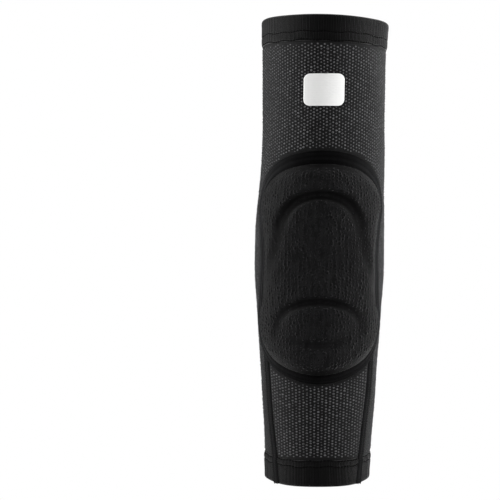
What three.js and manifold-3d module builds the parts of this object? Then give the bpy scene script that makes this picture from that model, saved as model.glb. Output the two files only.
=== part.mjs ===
// Padded elbow sleeve: a knitted tube for a slightly bent arm, with hems at both ends and a pad of three
// segments over the elbow.
// Millimetres, +Z up towards the upper arm, -Y towards the pad, +X to the right of someone who looks at
// the pad. The origin is on the arm's axis at the elbow.

import * as THREE from 'three';
import { mergeVertices } from 'three/addons/utils/BufferGeometryUtils.js';
import Module from 'manifold-3d';

const wasm = await Module();
wasm.setup();

// Driving dimensions of the sleeve
const KNIT_WALL = 1.6;
const GAP = 0.3;
const KNIT_SEAT = 0.45;
const UPPER_RIM = { z: 151.2, slopeX: -0.03, slopeY: -0.05 };
const LOWER_RIM = { z: -154.4, slopeX: 0, slopeY: 0 };
const CUFF_HEIGHT = 17;

// Outer surface of the knitted tube: a row for each section across the arm, from the lower rim up.
const SECTIONS = [
  { z: -160, halfWidth: 33.6, halfDepth: 34.6, centreX: -2.4, centreY: 2.6 },
  { z: -120, halfWidth: 35.6, halfDepth: 36.6, centreX: -2.0, centreY: 1.2 },
  { z: -93, halfWidth: 37.4, halfDepth: 38.2, centreX: -1.6, centreY: 0.6 },
  { z: -67, halfWidth: 39.1, halfDepth: 38.6, centreX: -1.5, centreY: 1.3 },
  { z: -40, halfWidth: 41.0, halfDepth: 35.9, centreX: -1.3, centreY: 1.4 },
  { z: -13, halfWidth: 42.6, halfDepth: 32.3, centreX: -1.0, centreY: 0.6 },
  { z: 13, halfWidth: 42.5, halfDepth: 32.0, centreX: -0.6, centreY: -0.8 },
  { z: 40, halfWidth: 41.4, halfDepth: 39.2, centreX: 0.3, centreY: 2.2 },
  { z: 66, halfWidth: 40.6, halfDepth: 47.8, centreX: 1.3, centreY: 7.3 },
  { z: 100, halfWidth: 40.6, halfDepth: 51.3, centreX: 2.0, centreY: 11.3 },
  { z: 128, halfWidth: 41.1, halfDepth: 52.6, centreX: 2.3, centreY: 13.3 },
  { z: 160, halfWidth: 42.2, halfDepth: 53.6, centreX: 3.2, centreY: 13.6 },
];

// Wall of a hem, once round its section from the edge that meets the tube: how far each corner lies from the
// rim, and how far it is lifted off the tube's outer surface.
const CUFF_PROFILE = [
  { fromRim: CUFF_HEIGHT, lift: 0.4 },
  { fromRim: 16.4, lift: 0.9 },
  { fromRim: 12.2, lift: 0.9 },
  { fromRim: 11.6, lift: 0.4 },
  { fromRim: 2.2, lift: 0.7 },
  { fromRim: 0.5, lift: 0.2 },
  { fromRim: 0.0, lift: -0.7 },
  { fromRim: 0.6, lift: -1.7 },
  { fromRim: 3.0, lift: -1.9 },
  { fromRim: CUFF_HEIGHT, lift: -1.9 },
];

// Pad, laid out flat: across is an angle from the middle of the elbow, up is the height.
const PAD_RADIUS = 38;
const PAD_CENTRE_Z = -10;
const PAD_BORDER_WIDTH = 5;
const PAD_BORDER_THICKNESS = 1.0;
const PAD_BORDER_BEVEL = 0.5;
const PAD_SEAT = 0.7;
const PAD_EDGE_HEIGHT = 1.9;
const PAD_FULL_HEIGHT = 4.5;
const PAD_SHOULDER = 11;
const PAD_CROWN = { height: 2.6, z: -3, halfWidth: 44, halfHeight: 60, flatShare: 0.55 };
const GROOVE_WIDTH = 2.6;
const GROOVE_OVERCUT = 3;

// Right half of the border's outer edge, from its top down. The left half mirrors it.
const PAD_OUTLINE = [
  { z: 66.8, angle: 0 },
  { z: 61.5, angle: 38 },
  { z: 46, angle: 65 },
  { z: 30, angle: 73.5 },
  { z: 14, angle: 67 },
  { z: -8, angle: 62.5 },
  { z: -30, angle: 68.5 },
  { z: -47, angle: 77.5 },
  { z: -62, angle: 71.5 },
  { z: -75, angle: 54 },
  { z: -86, angle: 26 },
  { z: -89.5, angle: 0 },
];

// Right half of the groove between the crescent and the cap, from its top down past the pad's edge.
const UPPER_GROOVE = [
  { z: 37, angle: 0 },
  { z: 31, angle: 27 },
  { z: 18, angle: 40 },
  { z: -2, angle: 44 },
  { z: -22, angle: 53 },
  { z: -38, angle: 80 },
];

// Right half of the groove between the cap and the heel, from its top down past the pad's edge.
const LOWER_GROOVE = [
  { z: -34.5, angle: 0 },
  { z: -38, angle: 20 },
  { z: -48, angle: 42 },
  { z: -60, angle: 54 },
  { z: -72, angle: 74 },
];

// Middle line of the right side seam, from the pad down to the lower hem. The left seam mirrors it.
const SIDE_SEAM = [
  { z: -75.5, angle: 62 },
  { z: -95, angle: 62 },
  { z: -118, angle: 59 },
  { z: -135, angle: 55 },
];
const SEAM_WIDTH = 4.6;
const SEAM_THICKNESS = 0.8;

// Printed patch on the upper arm
const PRINT_WIDTH = 25;
const PRINT_HEIGHT = 21;
const PRINT_CORNER = 4;
const PRINT_CENTRE_Z = 104;
const PRINT_RADIUS = 38;
const PRINT_THICKNESS = 0.4;

// Fineness of the facets
const AROUND = 42;
const TUBE_ROWS = 20;
const OUTLINE_STEPS = 60;
const GROOVE_STEPS = 36;
const SEAM_STEPS = 12;
const PRINT_STEPS = 40;
const PAD_RINGS = [0.24, 0.46, 0.65, 0.8, 0.9, 0.96, 1];
const PRINT_RINGS = [0.5, 1];

// Values of a section at any height, from the table of sections.
const SECTION_VALUES = 4;
const sections = new THREE.CubicInterpolant(
  SECTIONS.map((row) => row.z),
  SECTIONS.flatMap((row) => [row.halfWidth, row.halfDepth, row.centreX, row.centreY]),
  SECTION_VALUES,
);

// Point of the sleeve at an angle from the middle of the elbow, lifted off the tube's outer surface.
function onSleeve(angle, z, lift) {
  const [halfWidth, halfDepth, centreX, centreY] = sections.evaluate(z);
  const across = Math.sin(angle);
  const ahead = Math.cos(angle);
  const outwards = new THREE.Vector2(across / halfWidth, -ahead / halfDepth).normalize();
  return new THREE.Vector3(
    centreX + halfWidth * across + lift * outwards.x,
    centreY - halfDepth * ahead + lift * outwards.y,
    z,
  );
}

// Height of a rim, which is a slanted plane, at an angle round the sleeve.
function rimHeight(rim, angle) {
  const point = onSleeve(angle, rim.z, 0);
  return rim.z + rim.slopeX * point.x + rim.slopeY * point.y;
}

// Ring of points once round the sleeve, where heightAt gives the height at each angle.
function ringRound(heightAt, lift) {
  const ring = [];
  for (let step = 0; step < AROUND; step += 1) {
    const angle = (step / AROUND) * Math.PI * 2;
    ring.push(onSleeve(angle, heightAt(angle), lift));
  }
  return ring;
}

// Six times the volume that a triangle mesh encloses, negative where its faces point inwards.
function signedVolume(points, triangles) {
  const normal = new THREE.Vector3();
  let volume = 0;
  for (const [a, b, c] of triangles) {
    volume += points[a].dot(normal.crossVectors(points[b], points[c]));
  }
  return volume;
}

// Closed surface through rings of equally many points. With two poles each end closes in a fan to its pole,
// and without them the last ring joins the first.
function loft(rings, poles) {
  const count = rings[0].length;
  const points = rings.flat();
  const triangles = [];
  const lastJoin = poles ? rings.length - 1 : rings.length;
  for (let row = 0; row < lastJoin; row += 1) {
    const next = (row + 1) % rings.length;
    for (let step = 0; step < count; step += 1) {
      const after = (step + 1) % count;
      triangles.push([row * count + step, row * count + after, next * count + after]);
      triangles.push([row * count + step, next * count + after, next * count + step]);
    }
  }
  if (poles) {
    const lastRow = (rings.length - 1) * count;
    for (let step = 0; step < count; step += 1) {
      const after = (step + 1) % count;
      triangles.push([points.length, after, step]);
      triangles.push([points.length + 1, lastRow + step, lastRow + after]);
    }
    points.push(...poles);
  }
  if (signedVolume(points, triangles) < 0) {
    triangles.forEach((triangle) => triangle.reverse());
  }
  const geometry = new THREE.BufferGeometry().setFromPoints(points);
  geometry.setIndex(triangles.flat());
  return geometry;
}

// Solid of a closed surface, for joining and cutting.
function solidOf(geometry) {
  const merged = mergeVertices(geometry);
  return new wasm.Manifold(
    new wasm.Mesh({
      numProp: 3,
      vertProperties: Float32Array.from(merged.attributes.position.array),
      triVerts: Uint32Array.from(merged.index.array),
    }),
  );
}

function geometryOf(solid) {
  const mesh = solid.getMesh();
  const geometry = new THREE.BufferGeometry();
  geometry.setAttribute('position', new THREE.Float32BufferAttribute(mesh.vertProperties, 3));
  geometry.setIndex(Array.from(mesh.triVerts));
  return geometry;
}

// Knitted tube between the two hems, open at both ends.
function sleeveTube() {
  const low = (angle) => rimHeight(LOWER_RIM, angle) + CUFF_HEIGHT + GAP;
  const high = (angle) => rimHeight(UPPER_RIM, angle) - CUFF_HEIGHT - GAP;
  const outer = [];
  const inner = [];
  for (let row = 0; row <= TUBE_ROWS; row += 1) {
    const share = row / TUBE_ROWS;
    const heightAt = (angle) => THREE.MathUtils.lerp(low(angle), high(angle), share);
    outer.push(ringRound(heightAt, 0));
    inner.push(ringRound(heightAt, -KNIT_WALL));
  }
  return loft([...outer, ...inner.reverse()]);
}

// Hem at one end. Inwards is the direction along Z from its rim to the tube.
function cuff(rim, inwards) {
  const rings = CUFF_PROFILE.map((corner) =>
    ringRound((angle) => rimHeight(rim, angle) + inwards * corner.fromRim, corner.lift),
  );
  return loft(rings);
}

// Point of the flat pad layout for a table row, on the right (side 1) or the left (side -1).
function flatPoint(row, side) {
  const angle = THREE.MathUtils.degToRad(row.angle);
  return new THREE.Vector3(side * angle * PAD_RADIUS, row.z, 0);
}

// Curve across the pad from its left end to its right end, from a table of its right half.
function mirroredCurve(rows) {
  const left = rows.slice(1).reverse().map((row) => flatPoint(row, -1));
  const right = rows.map((row) => flatPoint(row, 1));
  return new THREE.CatmullRomCurve3([...left, ...right], false, 'centripetal');
}

// Points of the pad's outline, moved inwards by a distance.
function outlinePoints(inset) {
  const right = PAD_OUTLINE.map((row) => flatPoint(row, 1));
  const left = PAD_OUTLINE.slice(1, -1).reverse().map((row) => flatPoint(row, -1));
  const curve = new THREE.CatmullRomCurve3([...right, ...left], true, 'centripetal');
  const points = [];
  for (let step = 0; step < OUTLINE_STEPS; step += 1) {
    const share = step / OUTLINE_STEPS;
    const along = curve.getTangentAt(share);
    const inwards = new THREE.Vector3(along.y, -along.x, 0);
    points.push(curve.getPointAt(share).addScaledVector(inwards, inset));
  }
  return points;
}

// Wraps a point of a flat layout round the sleeve.
function wrap(point, layoutRadius, lift) {
  return onSleeve(point.x / layoutRadius, point.y, lift);
}

function padBorder() {
  const top = KNIT_SEAT + PAD_BORDER_THICKNESS;
  const corners = [
    { inset: 0, lift: KNIT_SEAT },
    { inset: PAD_BORDER_BEVEL, lift: top },
    { inset: PAD_BORDER_WIDTH - PAD_BORDER_BEVEL, lift: top },
    { inset: PAD_BORDER_WIDTH, lift: KNIT_SEAT },
  ];
  const rings = corners.map((corner) =>
    outlinePoints(corner.inset).map((point) => wrap(point, PAD_RADIUS, corner.lift)),
  );
  return loft(rings);
}

// Height of the pad's top at a point of the flat layout, with a round shoulder along the edge.
function padHeight(point, toEdge) {
  const rise = Math.min(1, toEdge / PAD_SHOULDER);
  const shoulder = Math.sqrt(1 - (1 - rise) ** 2);
  const across = point.x / PAD_CROWN.halfWidth;
  const up = (point.y - PAD_CROWN.z) / PAD_CROWN.halfHeight;
  const fromMiddle = Math.hypot(across, up);
  const crown = PAD_CROWN.height * (1 - THREE.MathUtils.smoothstep(fromMiddle, PAD_CROWN.flatShare, 1));
  return PAD_EDGE_HEIGHT + shoulder * (PAD_FULL_HEIGHT - PAD_EDGE_HEIGHT + crown);
}

// Whole pad inside the border, before the grooves divide it.
function padPlate() {
  const centre = new THREE.Vector3(0, PAD_CENTRE_Z, 0);
  const edge = outlinePoints(PAD_BORDER_WIDTH + GAP);
  const flatRings = PAD_RINGS.map((share) =>
    edge.map((point) => new THREE.Vector3().lerpVectors(centre, point, share)),
  );
  const top = flatRings.map((ring) =>
    ring.map((point, step) => wrap(point, PAD_RADIUS, padHeight(point, point.distanceTo(edge[step])))),
  );
  const bottom = flatRings.map((ring) => ring.map((point) => wrap(point, PAD_RADIUS, PAD_SEAT)));
  const poles = [
    wrap(centre, PAD_RADIUS, padHeight(centre, PAD_SHOULDER)),
    wrap(centre, PAD_RADIUS, PAD_SEAT),
  ];
  return loft([...top, ...bottom.reverse()], poles);
}

// Upright ribbon along a groove, as wide as the groove and higher than the pad.
function grooveCutter(rows) {
  const below = PAD_SEAT - GROOVE_OVERCUT;
  const above = PAD_FULL_HEIGHT + PAD_CROWN.height + GROOVE_OVERCUT;
  const curve = mirroredCurve(rows);
  const rings = [];
  for (let step = 0; step <= GROOVE_STEPS; step += 1) {
    const share = step / GROOVE_STEPS;
    const middle = curve.getPointAt(share);
    const along = curve.getTangentAt(share);
    const across = new THREE.Vector3(-along.y, along.x, 0).multiplyScalar(GROOVE_WIDTH / 2);
    const oneSide = middle.clone().add(across);
    const otherSide = middle.clone().sub(across);
    rings.push([
      wrap(oneSide, PAD_RADIUS, below),
      wrap(otherSide, PAD_RADIUS, below),
      wrap(otherSide, PAD_RADIUS, above),
      wrap(oneSide, PAD_RADIUS, above),
    ]);
  }
  return loft(rings, [ringCentre(rings[0]), ringCentre(rings.at(-1))]);
}

function ringCentre(ring) {
  const centre = new THREE.Vector3();
  ring.forEach((point) => centre.addScaledVector(point, 1 / ring.length));
  return centre;
}

// The three pad segments, from the top down, as the grooves leave them.
function padSegments() {
  const cutters = [UPPER_GROOVE, LOWER_GROOVE].map((rows) => solidOf(grooveCutter(rows)));
  const divided = cutters.reduce((pad, cutter) => pad.subtract(cutter), solidOf(padPlate()));
  const highest = (solid) => solid.boundingBox().max[2];
  const solids = divided.decompose().sort((one, other) => highest(other) - highest(one));
  return solids.map(geometryOf);
}

// Flat seam on one side of the forearm, right (side 1) or left (side -1).
function sideSeam(side) {
  const points = SIDE_SEAM.map((row) => flatPoint(row, side));
  const curve = new THREE.CatmullRomCurve3(points, false, 'centripetal');
  const halfWidth = new THREE.Vector3(SEAM_WIDTH / 2, 0, 0);
  const rings = [];
  for (let step = 0; step <= SEAM_STEPS; step += 1) {
    const middle = curve.getPointAt(step / SEAM_STEPS);
    const left = middle.clone().sub(halfWidth);
    const right = middle.clone().add(halfWidth);
    rings.push([
      wrap(left, PAD_RADIUS, KNIT_SEAT),
      wrap(right, PAD_RADIUS, KNIT_SEAT),
      wrap(right, PAD_RADIUS, KNIT_SEAT + SEAM_THICKNESS),
      wrap(left, PAD_RADIUS, KNIT_SEAT + SEAM_THICKNESS),
    ]);
  }
  return loft(rings, [ringCentre(rings[0]), ringCentre(rings.at(-1))]);
}

// Plain printed patch with round corners, wrapped on the front of the upper arm.
function printPatch() {
  const right = PRINT_WIDTH / 2 - PRINT_CORNER;
  const top = PRINT_HEIGHT / 2 - PRINT_CORNER;
  const quarter = Math.PI / 2;
  const shape = new THREE.Shape();
  shape.absarc(right, top, PRINT_CORNER, 0, quarter);
  shape.absarc(-right, top, PRINT_CORNER, quarter, 2 * quarter);
  shape.absarc(-right, -top, PRINT_CORNER, 2 * quarter, 3 * quarter);
  shape.absarc(right, -top, PRINT_CORNER, 3 * quarter, 4 * quarter);
  shape.closePath();
  const outline = shape.getSpacedPoints(PRINT_STEPS).slice(0, PRINT_STEPS);
  const ringAt = (share, lift) =>
    outline.map((point) =>
      onSleeve((point.x * share) / PRINT_RADIUS, PRINT_CENTRE_Z + point.y * share, lift),
    );
  const inner = PRINT_RINGS.map((share) => ringAt(share, KNIT_SEAT));
  const outer = PRINT_RINGS.map((share) => ringAt(share, KNIT_SEAT + PRINT_THICKNESS));
  const poles = [KNIT_SEAT + PRINT_THICKNESS, KNIT_SEAT].map((lift) => onSleeve(0, PRINT_CENTRE_Z, lift));
  return loft([...outer, ...inner.reverse()], poles);
}

const FINISHES = {
  meshKnit: { color: 0x1d1d1f, roughness: 0.85 },
  ribKnit: { color: 0x131314, roughness: 0.85 },
  padKnit: { color: 0x171718, roughness: 0.8 },
  seamKnit: { color: 0x0a0a0b, roughness: 0.9 },
  print: { color: 0xeeeeec, roughness: 0.6 },
};

function piece(name, geometry, finish) {
  const mesh = new THREE.Mesh(geometry, new THREE.MeshStandardMaterial({ ...finish, metalness: 0 }));
  mesh.name = name;
  return mesh;
}

const [crescent, cap, heel] = padSegments();
const sleeve = new THREE.Group();
sleeve.name = 'padded_elbow_sleeve';
sleeve.add(
  piece('sleeve_tube', sleeveTube(), FINISHES.meshKnit),
  piece('upper_cuff', cuff(UPPER_RIM, -1), FINISHES.ribKnit),
  piece('lower_cuff', cuff(LOWER_RIM, 1), FINISHES.ribKnit),
  piece('pad_border', padBorder(), FINISHES.seamKnit),
  piece('pad_crescent', crescent, FINISHES.padKnit),
  piece('pad_cap', cap, FINISHES.padKnit),
  piece('pad_heel', heel, FINISHES.padKnit),
  piece('side_seam_right', sideSeam(1), FINISHES.seamKnit),
  piece('side_seam_left', sideSeam(-1), FINISHES.seamKnit),
  piece('print_patch', printPatch(), FINISHES.print),
);

export default sleeve;
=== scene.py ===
import math
from collections import namedtuple

import bpy
import numpy as np
from mathutils import Matrix, Vector
from mathutils.kdtree import KDTree


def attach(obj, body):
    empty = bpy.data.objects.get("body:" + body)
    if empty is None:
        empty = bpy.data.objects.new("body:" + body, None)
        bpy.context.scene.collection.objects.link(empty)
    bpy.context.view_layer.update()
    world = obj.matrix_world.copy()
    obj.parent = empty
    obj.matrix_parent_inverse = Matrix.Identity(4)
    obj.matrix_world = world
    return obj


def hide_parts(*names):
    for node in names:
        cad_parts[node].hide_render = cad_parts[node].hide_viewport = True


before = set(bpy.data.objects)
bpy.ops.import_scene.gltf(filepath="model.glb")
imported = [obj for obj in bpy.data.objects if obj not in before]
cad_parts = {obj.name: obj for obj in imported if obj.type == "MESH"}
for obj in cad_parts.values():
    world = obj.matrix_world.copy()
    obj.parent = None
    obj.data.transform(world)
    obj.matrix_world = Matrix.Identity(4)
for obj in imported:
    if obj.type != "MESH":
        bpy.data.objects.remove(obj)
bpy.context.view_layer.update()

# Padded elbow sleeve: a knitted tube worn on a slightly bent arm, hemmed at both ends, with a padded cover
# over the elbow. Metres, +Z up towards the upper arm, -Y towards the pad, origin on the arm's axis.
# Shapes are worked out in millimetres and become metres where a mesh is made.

MM = 0.001
TURN = 2 * math.pi
CLOTH_MAP = "cloth"
# Point attribute of painted shade that darkens the knits in grooves, creases, along the trim and on the
# pad's edge
PRESSED_AND_SHADE = "pressed"

# Sleeve: a row for each section across the arm, from the lower rim up
Section = namedtuple("Section", "z half_width half_depth centre_x centre_y")
SECTIONS = [
    Section(-160, 33.6, 34.6, -2.4, 2.6),
    Section(-120, 35.6, 36.6, -2.0, 1.2),
    Section(-93, 37.4, 38.2, -1.6, 0.6),
    Section(-67, 39.1, 38.6, -1.5, 1.3),
    Section(-40, 41.0, 35.9, -1.3, 1.4),
    Section(-13, 42.6, 32.3, -1.0, 0.6),
    Section(13, 42.5, 32.0, -0.6, -0.8),
    Section(40, 41.4, 39.2, 0.3, 2.2),
    Section(66, 40.6, 47.8, 1.3, 7.3),
    Section(100, 40.6, 51.3, 2.0, 11.3),
    Section(128, 41.1, 52.6, 2.3, 13.3),
    Section(160, 42.2, 53.6, 3.2, 13.6),
]
# Rims: slanted planes that bow up a little at the arm's sides, with the way inwards from them, the ribs of
# their hems and the distances of the hems' sewn lines
Rim = namedtuple("Rim", "z slope_x slope_y bow inwards ribs stitch_lines")
UPPER_RIM = Rim(151.2, -0.03, -0.05, 1.3, -1, 264, (16.7, 11.2))
LOWER_RIM = Rim(-154.4, 0, 0, 3.2, 1, 200, (16.7, 13.0))
CUFF_HEIGHT = 17
KNIT_WALL = 1.6
WALL_TUCK = 2.5
WALL_AROUND = 320
WALL_ROWS = 225
WALL_INNER_ROWS = 45
# Line pressed into the tube beside its trim, with painted shade along it
TRIM_PINCH = 0.5
TRIM_PINCH_REACH = 1.5

# Small unevenness of the worn knit: height, waves round the sleeve, length of a wave along it, start
Ripple = namedtuple("Ripple", "height waves length start")
RIPPLES = [
    Ripple(0.16, 3, 140, 0.4),
    Ripple(0.12, 5, 88, 2.1),
    Ripple(0.08, 2, 41, 1.2),
    Ripple(0.05, 9, 57, 0.0),
]

# Hem: its section once round, by the distance from the rim and the lift off the tube's outer surface
HemPoint = namedtuple("HemPoint", "from_rim lift")
HEM_PROFILE = [
    HemPoint(17.2, -0.8),
    HemPoint(17.15, 0.05),
    HemPoint(16.8, 0.45),
    HemPoint(16.2, 0.5),
    HemPoint(15.0, 0.6),
    HemPoint(13.0, 0.6),
    HemPoint(9.6, 0.55),
    HemPoint(5.0, 0.5),
    HemPoint(2.0, 0.6),
    HemPoint(0.5, 0.3),
    HemPoint(0.0, -0.6),
    HemPoint(0.6, -1.6),
    HemPoint(3.0, -1.9),
    HemPoint(10.0, -1.9),
    HemPoint(16.5, -1.8),
]
HEM_ROWS = 64
HEM_COLUMNS_PER_RIB = 4
HEM_RIB_HEIGHT = 0.14
HEM_RIB_TO = 17.5
HEM_RIB_FADE = 1.0
# Lifts between which a hem's section passes from its inside to its outside
HEM_OUTSIDE = (-0.2, 0.4)
# Sewn lines round a hem: how deep and how wide they are, and how far and how often they waver
HEM_LINE_DEPTH = 0.45
HEM_LINE_REACH = 1.1
HEM_LINE_WAVER = 0.3
HEM_LINE_WAVES = (7, 17)
HEM_STITCH_LINE_POINTS = 400

# Pad, laid out flat: across is an angle from the middle of the elbow, up is the height
PAD_RADIUS = 38
PAD_CENTRE_Z = -10
PAD_EDGE_INSET = 4.0
PAD_TOP_INSET = 8.6
PAD_FOOT_INSET = 5.8
PAD_SEAT = -0.4
PAD_EDGE_HEIGHT = 0.5
PAD_LEAST_HEIGHT = 0.25
PAD_FULL_HEIGHT = 3.9
PAD_SHOULDER = 8.0
# Reach of the painted shade along the pad's edge, which also keeps loops off it, at its sides, top and foot
PAD_EDGE_SHADE_REACH = (0.9, 5.0, 4.8)
PadCrown = namedtuple("PadCrown", "height z half_width half_height flat_share")
PAD_CROWN = PadCrown(2.4, -3, 44, 60, 0.55)
# Rings of the cover: how they crowd towards its edge, and the places of those on its underside
PAD_AROUND = 320
PAD_RINGS = 66
PAD_RING_POWER = 1.25
PAD_UNDER_SHARES = (1.0, 0.8, 0.55, 0.3)

# Right half of an outline or groove on the pad, from its top down; the left half mirrors it
FlatRow = namedtuple("FlatRow", "z angle")
PAD_OUTLINE = [
    FlatRow(64.4, 0),
    FlatRow(59.4, 38),
    FlatRow(45.4, 65),
    FlatRow(30, 73.5),
    FlatRow(14, 67),
    FlatRow(-8, 62.5),
    FlatRow(-30, 68.5),
    FlatRow(-47, 77.5),
    FlatRow(-62, 71.5),
    FlatRow(-75, 54),
    FlatRow(-84.2, 26),
    FlatRow(-87.3, 0),
]
UPPER_GROOVE = [
    FlatRow(35.8, 0),
    FlatRow(32.4, 17.5),
    FlatRow(26.5, 26.5),
    FlatRow(17, 32.3),
    FlatRow(0, 37),
    FlatRow(-12, 44),
    FlatRow(-25, 54),
    FlatRow(-35, 65),
]
LOWER_GROOVE = [
    FlatRow(-33.8, 0),
    FlatRow(-35.4, 15),
    FlatRow(-39, 26),
    FlatRow(-45, 34),
    FlatRow(-54, 38.5),
]
HEEL_CREASE = [
    FlatRow(-62.2, 0),
    FlatRow(-61.2, 12),
    FlatRow(-58.2, 23),
    FlatRow(-53.5, 31),
]
# Depth, half floor width and wall width of a groove in the middle of the pad and at its ends,
# and the shares of its half length between which it changes
Groove = namedtuple("Groove", "rows depth end_depth floor end_floor wall end_wall change_from change_to")
GROOVES = [
    Groove(UPPER_GROOVE, 2.4, 0.7, 1.8, 0.2, 3.2, 5.2, 0.1, 0.5),
    Groove(LOWER_GROOVE, 2.0, 0.3, 1.0, 0.2, 3.2, 3.4, 0.15, 1.0),
    Groove(HEEL_CREASE, 1.2, 0.0, 0.3, 0.2, 4.6, 3.0, 0.1, 1.0),
]
SEWN_GROOVES = GROOVES[:2]
# Depth of a groove that presses the cover fully and paints it fully in shade, how much wider than its wall
# its painted shade reaches, which also holds the swelling down, how loose and less shaded the middle of its
# floor stays, and the share of pressing from which the cover carries no loops
FULLY_PRESSED = 2.2
PRESSED_AND_SHADE_WIDER = 1.35
GROOVE_MIDDLE_LOOSE = 0.45
PRESSED_FLAT = 0.7
GROOVE_POINTS = 400
OUTLINE_POINTS = 480
# Height of the widest part of the pad's lower end
PAD_LOBE_Z = -47

# Simulation that swells the pad's cover between its edge and its grooves, on a copy as large as a cushion
SIM_AROUND = 72
SIM_RINGS = 15
SIM_FRAMES = 20
SIM_QUALITY = 8
SIM_PRESSURE = 4.0
SIM_STRETCH = 5.0
SIM_SHEAR = 3.0
SIM_ENLARGED = 10.0
SIM_PINNED_NEAR_GROOVE = 2.4
SIM_LARGEST_SWELL = 1.6

# Border round the pad: its section by the distance inwards from the outer edge, the lift off the tube
# and the painted shade on it. The section is wider at the pad's upper and lower ends
BorderPoint = namedtuple("BorderPoint", "inset lift pressed")
BORDER_PROFILE = [
    BorderPoint(-0.1, -0.4, 1.0),
    BorderPoint(-0.1, 0.3, 1.0),
    BorderPoint(0.2, 0.7, 1.0),
    BorderPoint(0.7, 0.95, 0.95),
    BorderPoint(1.2, 0.75, 0.95),
    BorderPoint(1.6, 0.45, 1.0),
    BorderPoint(2.0, 0.5, 0.95),
    BorderPoint(2.6, 0.5, 0.95),
    BorderPoint(3.0, 0.35, 1.0),
    BorderPoint(3.6, 0.05, 1.0),
    BorderPoint(5.2, 0.0, 1.0),
    BorderPoint(5.2, -0.4, 1.0),
]
# Insets between which the border's inner part begins, and the share of painted shade that it keeps at the
# sides; with none there, the sides stand lighter, as painted side light
BORDER_INNER_PART = (0.0, 0.8)
BORDER_SIDE_SHADE = 0.0
BORDER_AROUND = 420
BORDER_SECTION_POINTS = 34
BORDER_STITCH_INSETS = [1.7, 3.3]

# Side seams, from the pad's lower corners down through the lower hem
SIDE_SEAM = [
    FlatRow(-73.5, 62),
    FlatRow(-95, 61),
    FlatRow(-118, 58),
    FlatRow(-136, 54),
    FlatRow(-153.2, 51),
]
SEAM_WIDTH = 5.4
SEAM_STEPS = 130
SEAM_SECTION_POINTS = 22
SEAM_UNDER_BORDER = 0.7
SEAM_RIDGE_SHARE = 0.25
SEAM_RIDGE_LIFT = 0.72
SEAM_STITCH_START = 2
SeamPoint = namedtuple("SeamPoint", "across lift")
SEAM_PROFILE = [
    SeamPoint(-0.5, -0.5),
    SeamPoint(-0.5, 0.25),
    SeamPoint(-0.42, 0.6),
    SeamPoint(-SEAM_RIDGE_SHARE, SEAM_RIDGE_LIFT),
    SeamPoint(-0.04, 0.5),
    SeamPoint(0.04, 0.5),
    SeamPoint(SEAM_RIDGE_SHARE, SEAM_RIDGE_LIFT),
    SeamPoint(0.42, 0.6),
    SeamPoint(0.5, 0.25),
    SeamPoint(0.5, -0.5),
]
# Lift of a seam on the lower hem, and the heights from the hem's edge between which it climbs there
SEAM_ON_HEM_LIFT = 0.6
SEAM_CLIMB = (-0.6, 1.4)

# Printed patch on the upper arm
PRINT_WIDTH = 25
PRINT_HEIGHT = 21
PRINT_CORNER = 4
PRINT_CORNER_POINTS = 12
PRINT_CENTRE_Z = 104
PRINT_RADIUS = 38
PRINT_AROUND = 160
PRINT_RINGS = 34
PRINT_UNDER_SHARE = 0.5
PRINT_LIFT = 0.42
PRINT_RELIEF = 0.1
PRINT_SINK = -0.3

# Raised loops of the knit: columns once round the tube, and the step between the loops of a column
LOOP_COLUMNS = 122
LoopStep = namedtuple("LoopStep", "z step")
LOOP_STEPS = [
    LoopStep(-140, 2.0),
    LoopStep(-60, 1.95),
    LoopStep(-10, 1.8),
    LoopStep(30, 1.85),
    LoopStep(70, 2.2),
    LoopStep(140, 2.12),
]
# Room that loops leave beside the trim, and the ways over which they grow from their faded size
LOOP_MARGIN = 0.9
LOOP_HEM_MARGIN = 2.2
LOOP_PRINT_MARGIN_SCALE = 1.02
LOOP_FADE = 3.2
LOOP_FADE_BEHIND_SEAM = 16.0
LOOP_FADE_LENGTH = 34.0
LOOP_SIZE_RANGE = (0.74, 1.16)
LOOP_FADED_SIZE = 0.3
# Where the rows bend: heights between which they rise under the pad, and the lobe that pushes them back
BEND_UNDER = (-128, -84)
BEND_RISE = 5.0
SEAM_REACH = 41.0
LOBE_SIDE = 57.0
LOBE_WIDTH = 16.0
LOBE_HEIGHT = 24.0
LOBE_PUSH = 3.5
# Panels of loops: where they begin or end, their columns on each side of the middle, and their steps
UPPER_PANEL_FROM = 40
FRONT_PANEL_TOP = -58
FRONT_COLUMNS = 18
FRONT_COLUMN_STEP = 2.38
FRONT_LOOP_STEP = 1.9
PAD_COLUMNS = 26
PAD_COLUMN_STEP = 2.1
PAD_LOOP_STEP = 2.2
PAD_LOOP_MARGIN = 2.6
PAD_LOOP_SHIFT = 0.3
PAD_LOOP_SHARES = (0.6, 1.2)
PAD_SLOPE_STEP = 0.3
# Size of one loop: across, along and off the cloth, and how far its middle is lifted
LoopSize = namedtuple("LoopSize", "across along thick lift")
UPPER_LOOP = LoopSize(1.4, 1.2, 0.8, 0.05)
BACK_LOOP = LoopSize(1.6, 1.0, 0.8, 0.05)
FRONT_LOOP = LoopSize(1.55, 1.1, 0.8, 0.05)
PAD_LOOP = LoopSize(1.8, 2.2, 0.36, -0.05)
LOOP_SEED = 7
LOOP_JITTER = 0.16
LOOP_SHIFT = 0.1

# Stitches: pitch along their line, length, width and thickness of one, and its turn across the line
StitchKind = namedtuple("StitchKind", "pitch length width thick turn")
HEM_STITCH = StitchKind(2.4, 2.35, 0.95, 0.5, 0)
BORDER_STITCH = StitchKind(1.9, 1.5, 0.36, 0.36, 0)
SEAM_STITCH = StitchKind(1.5, 1.5, 0.34, 0.34, 50)
# Share of its thickness by which a stitch's middle lies off the cloth, and the facets of one
STITCH_RAISED = 0.25
STITCH_SIDES = 6
STITCH_RINGS = 4
# Loops and stitches are made one unit thick and then given their sizes
UNIT_RADIUS = 0.5

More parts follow.
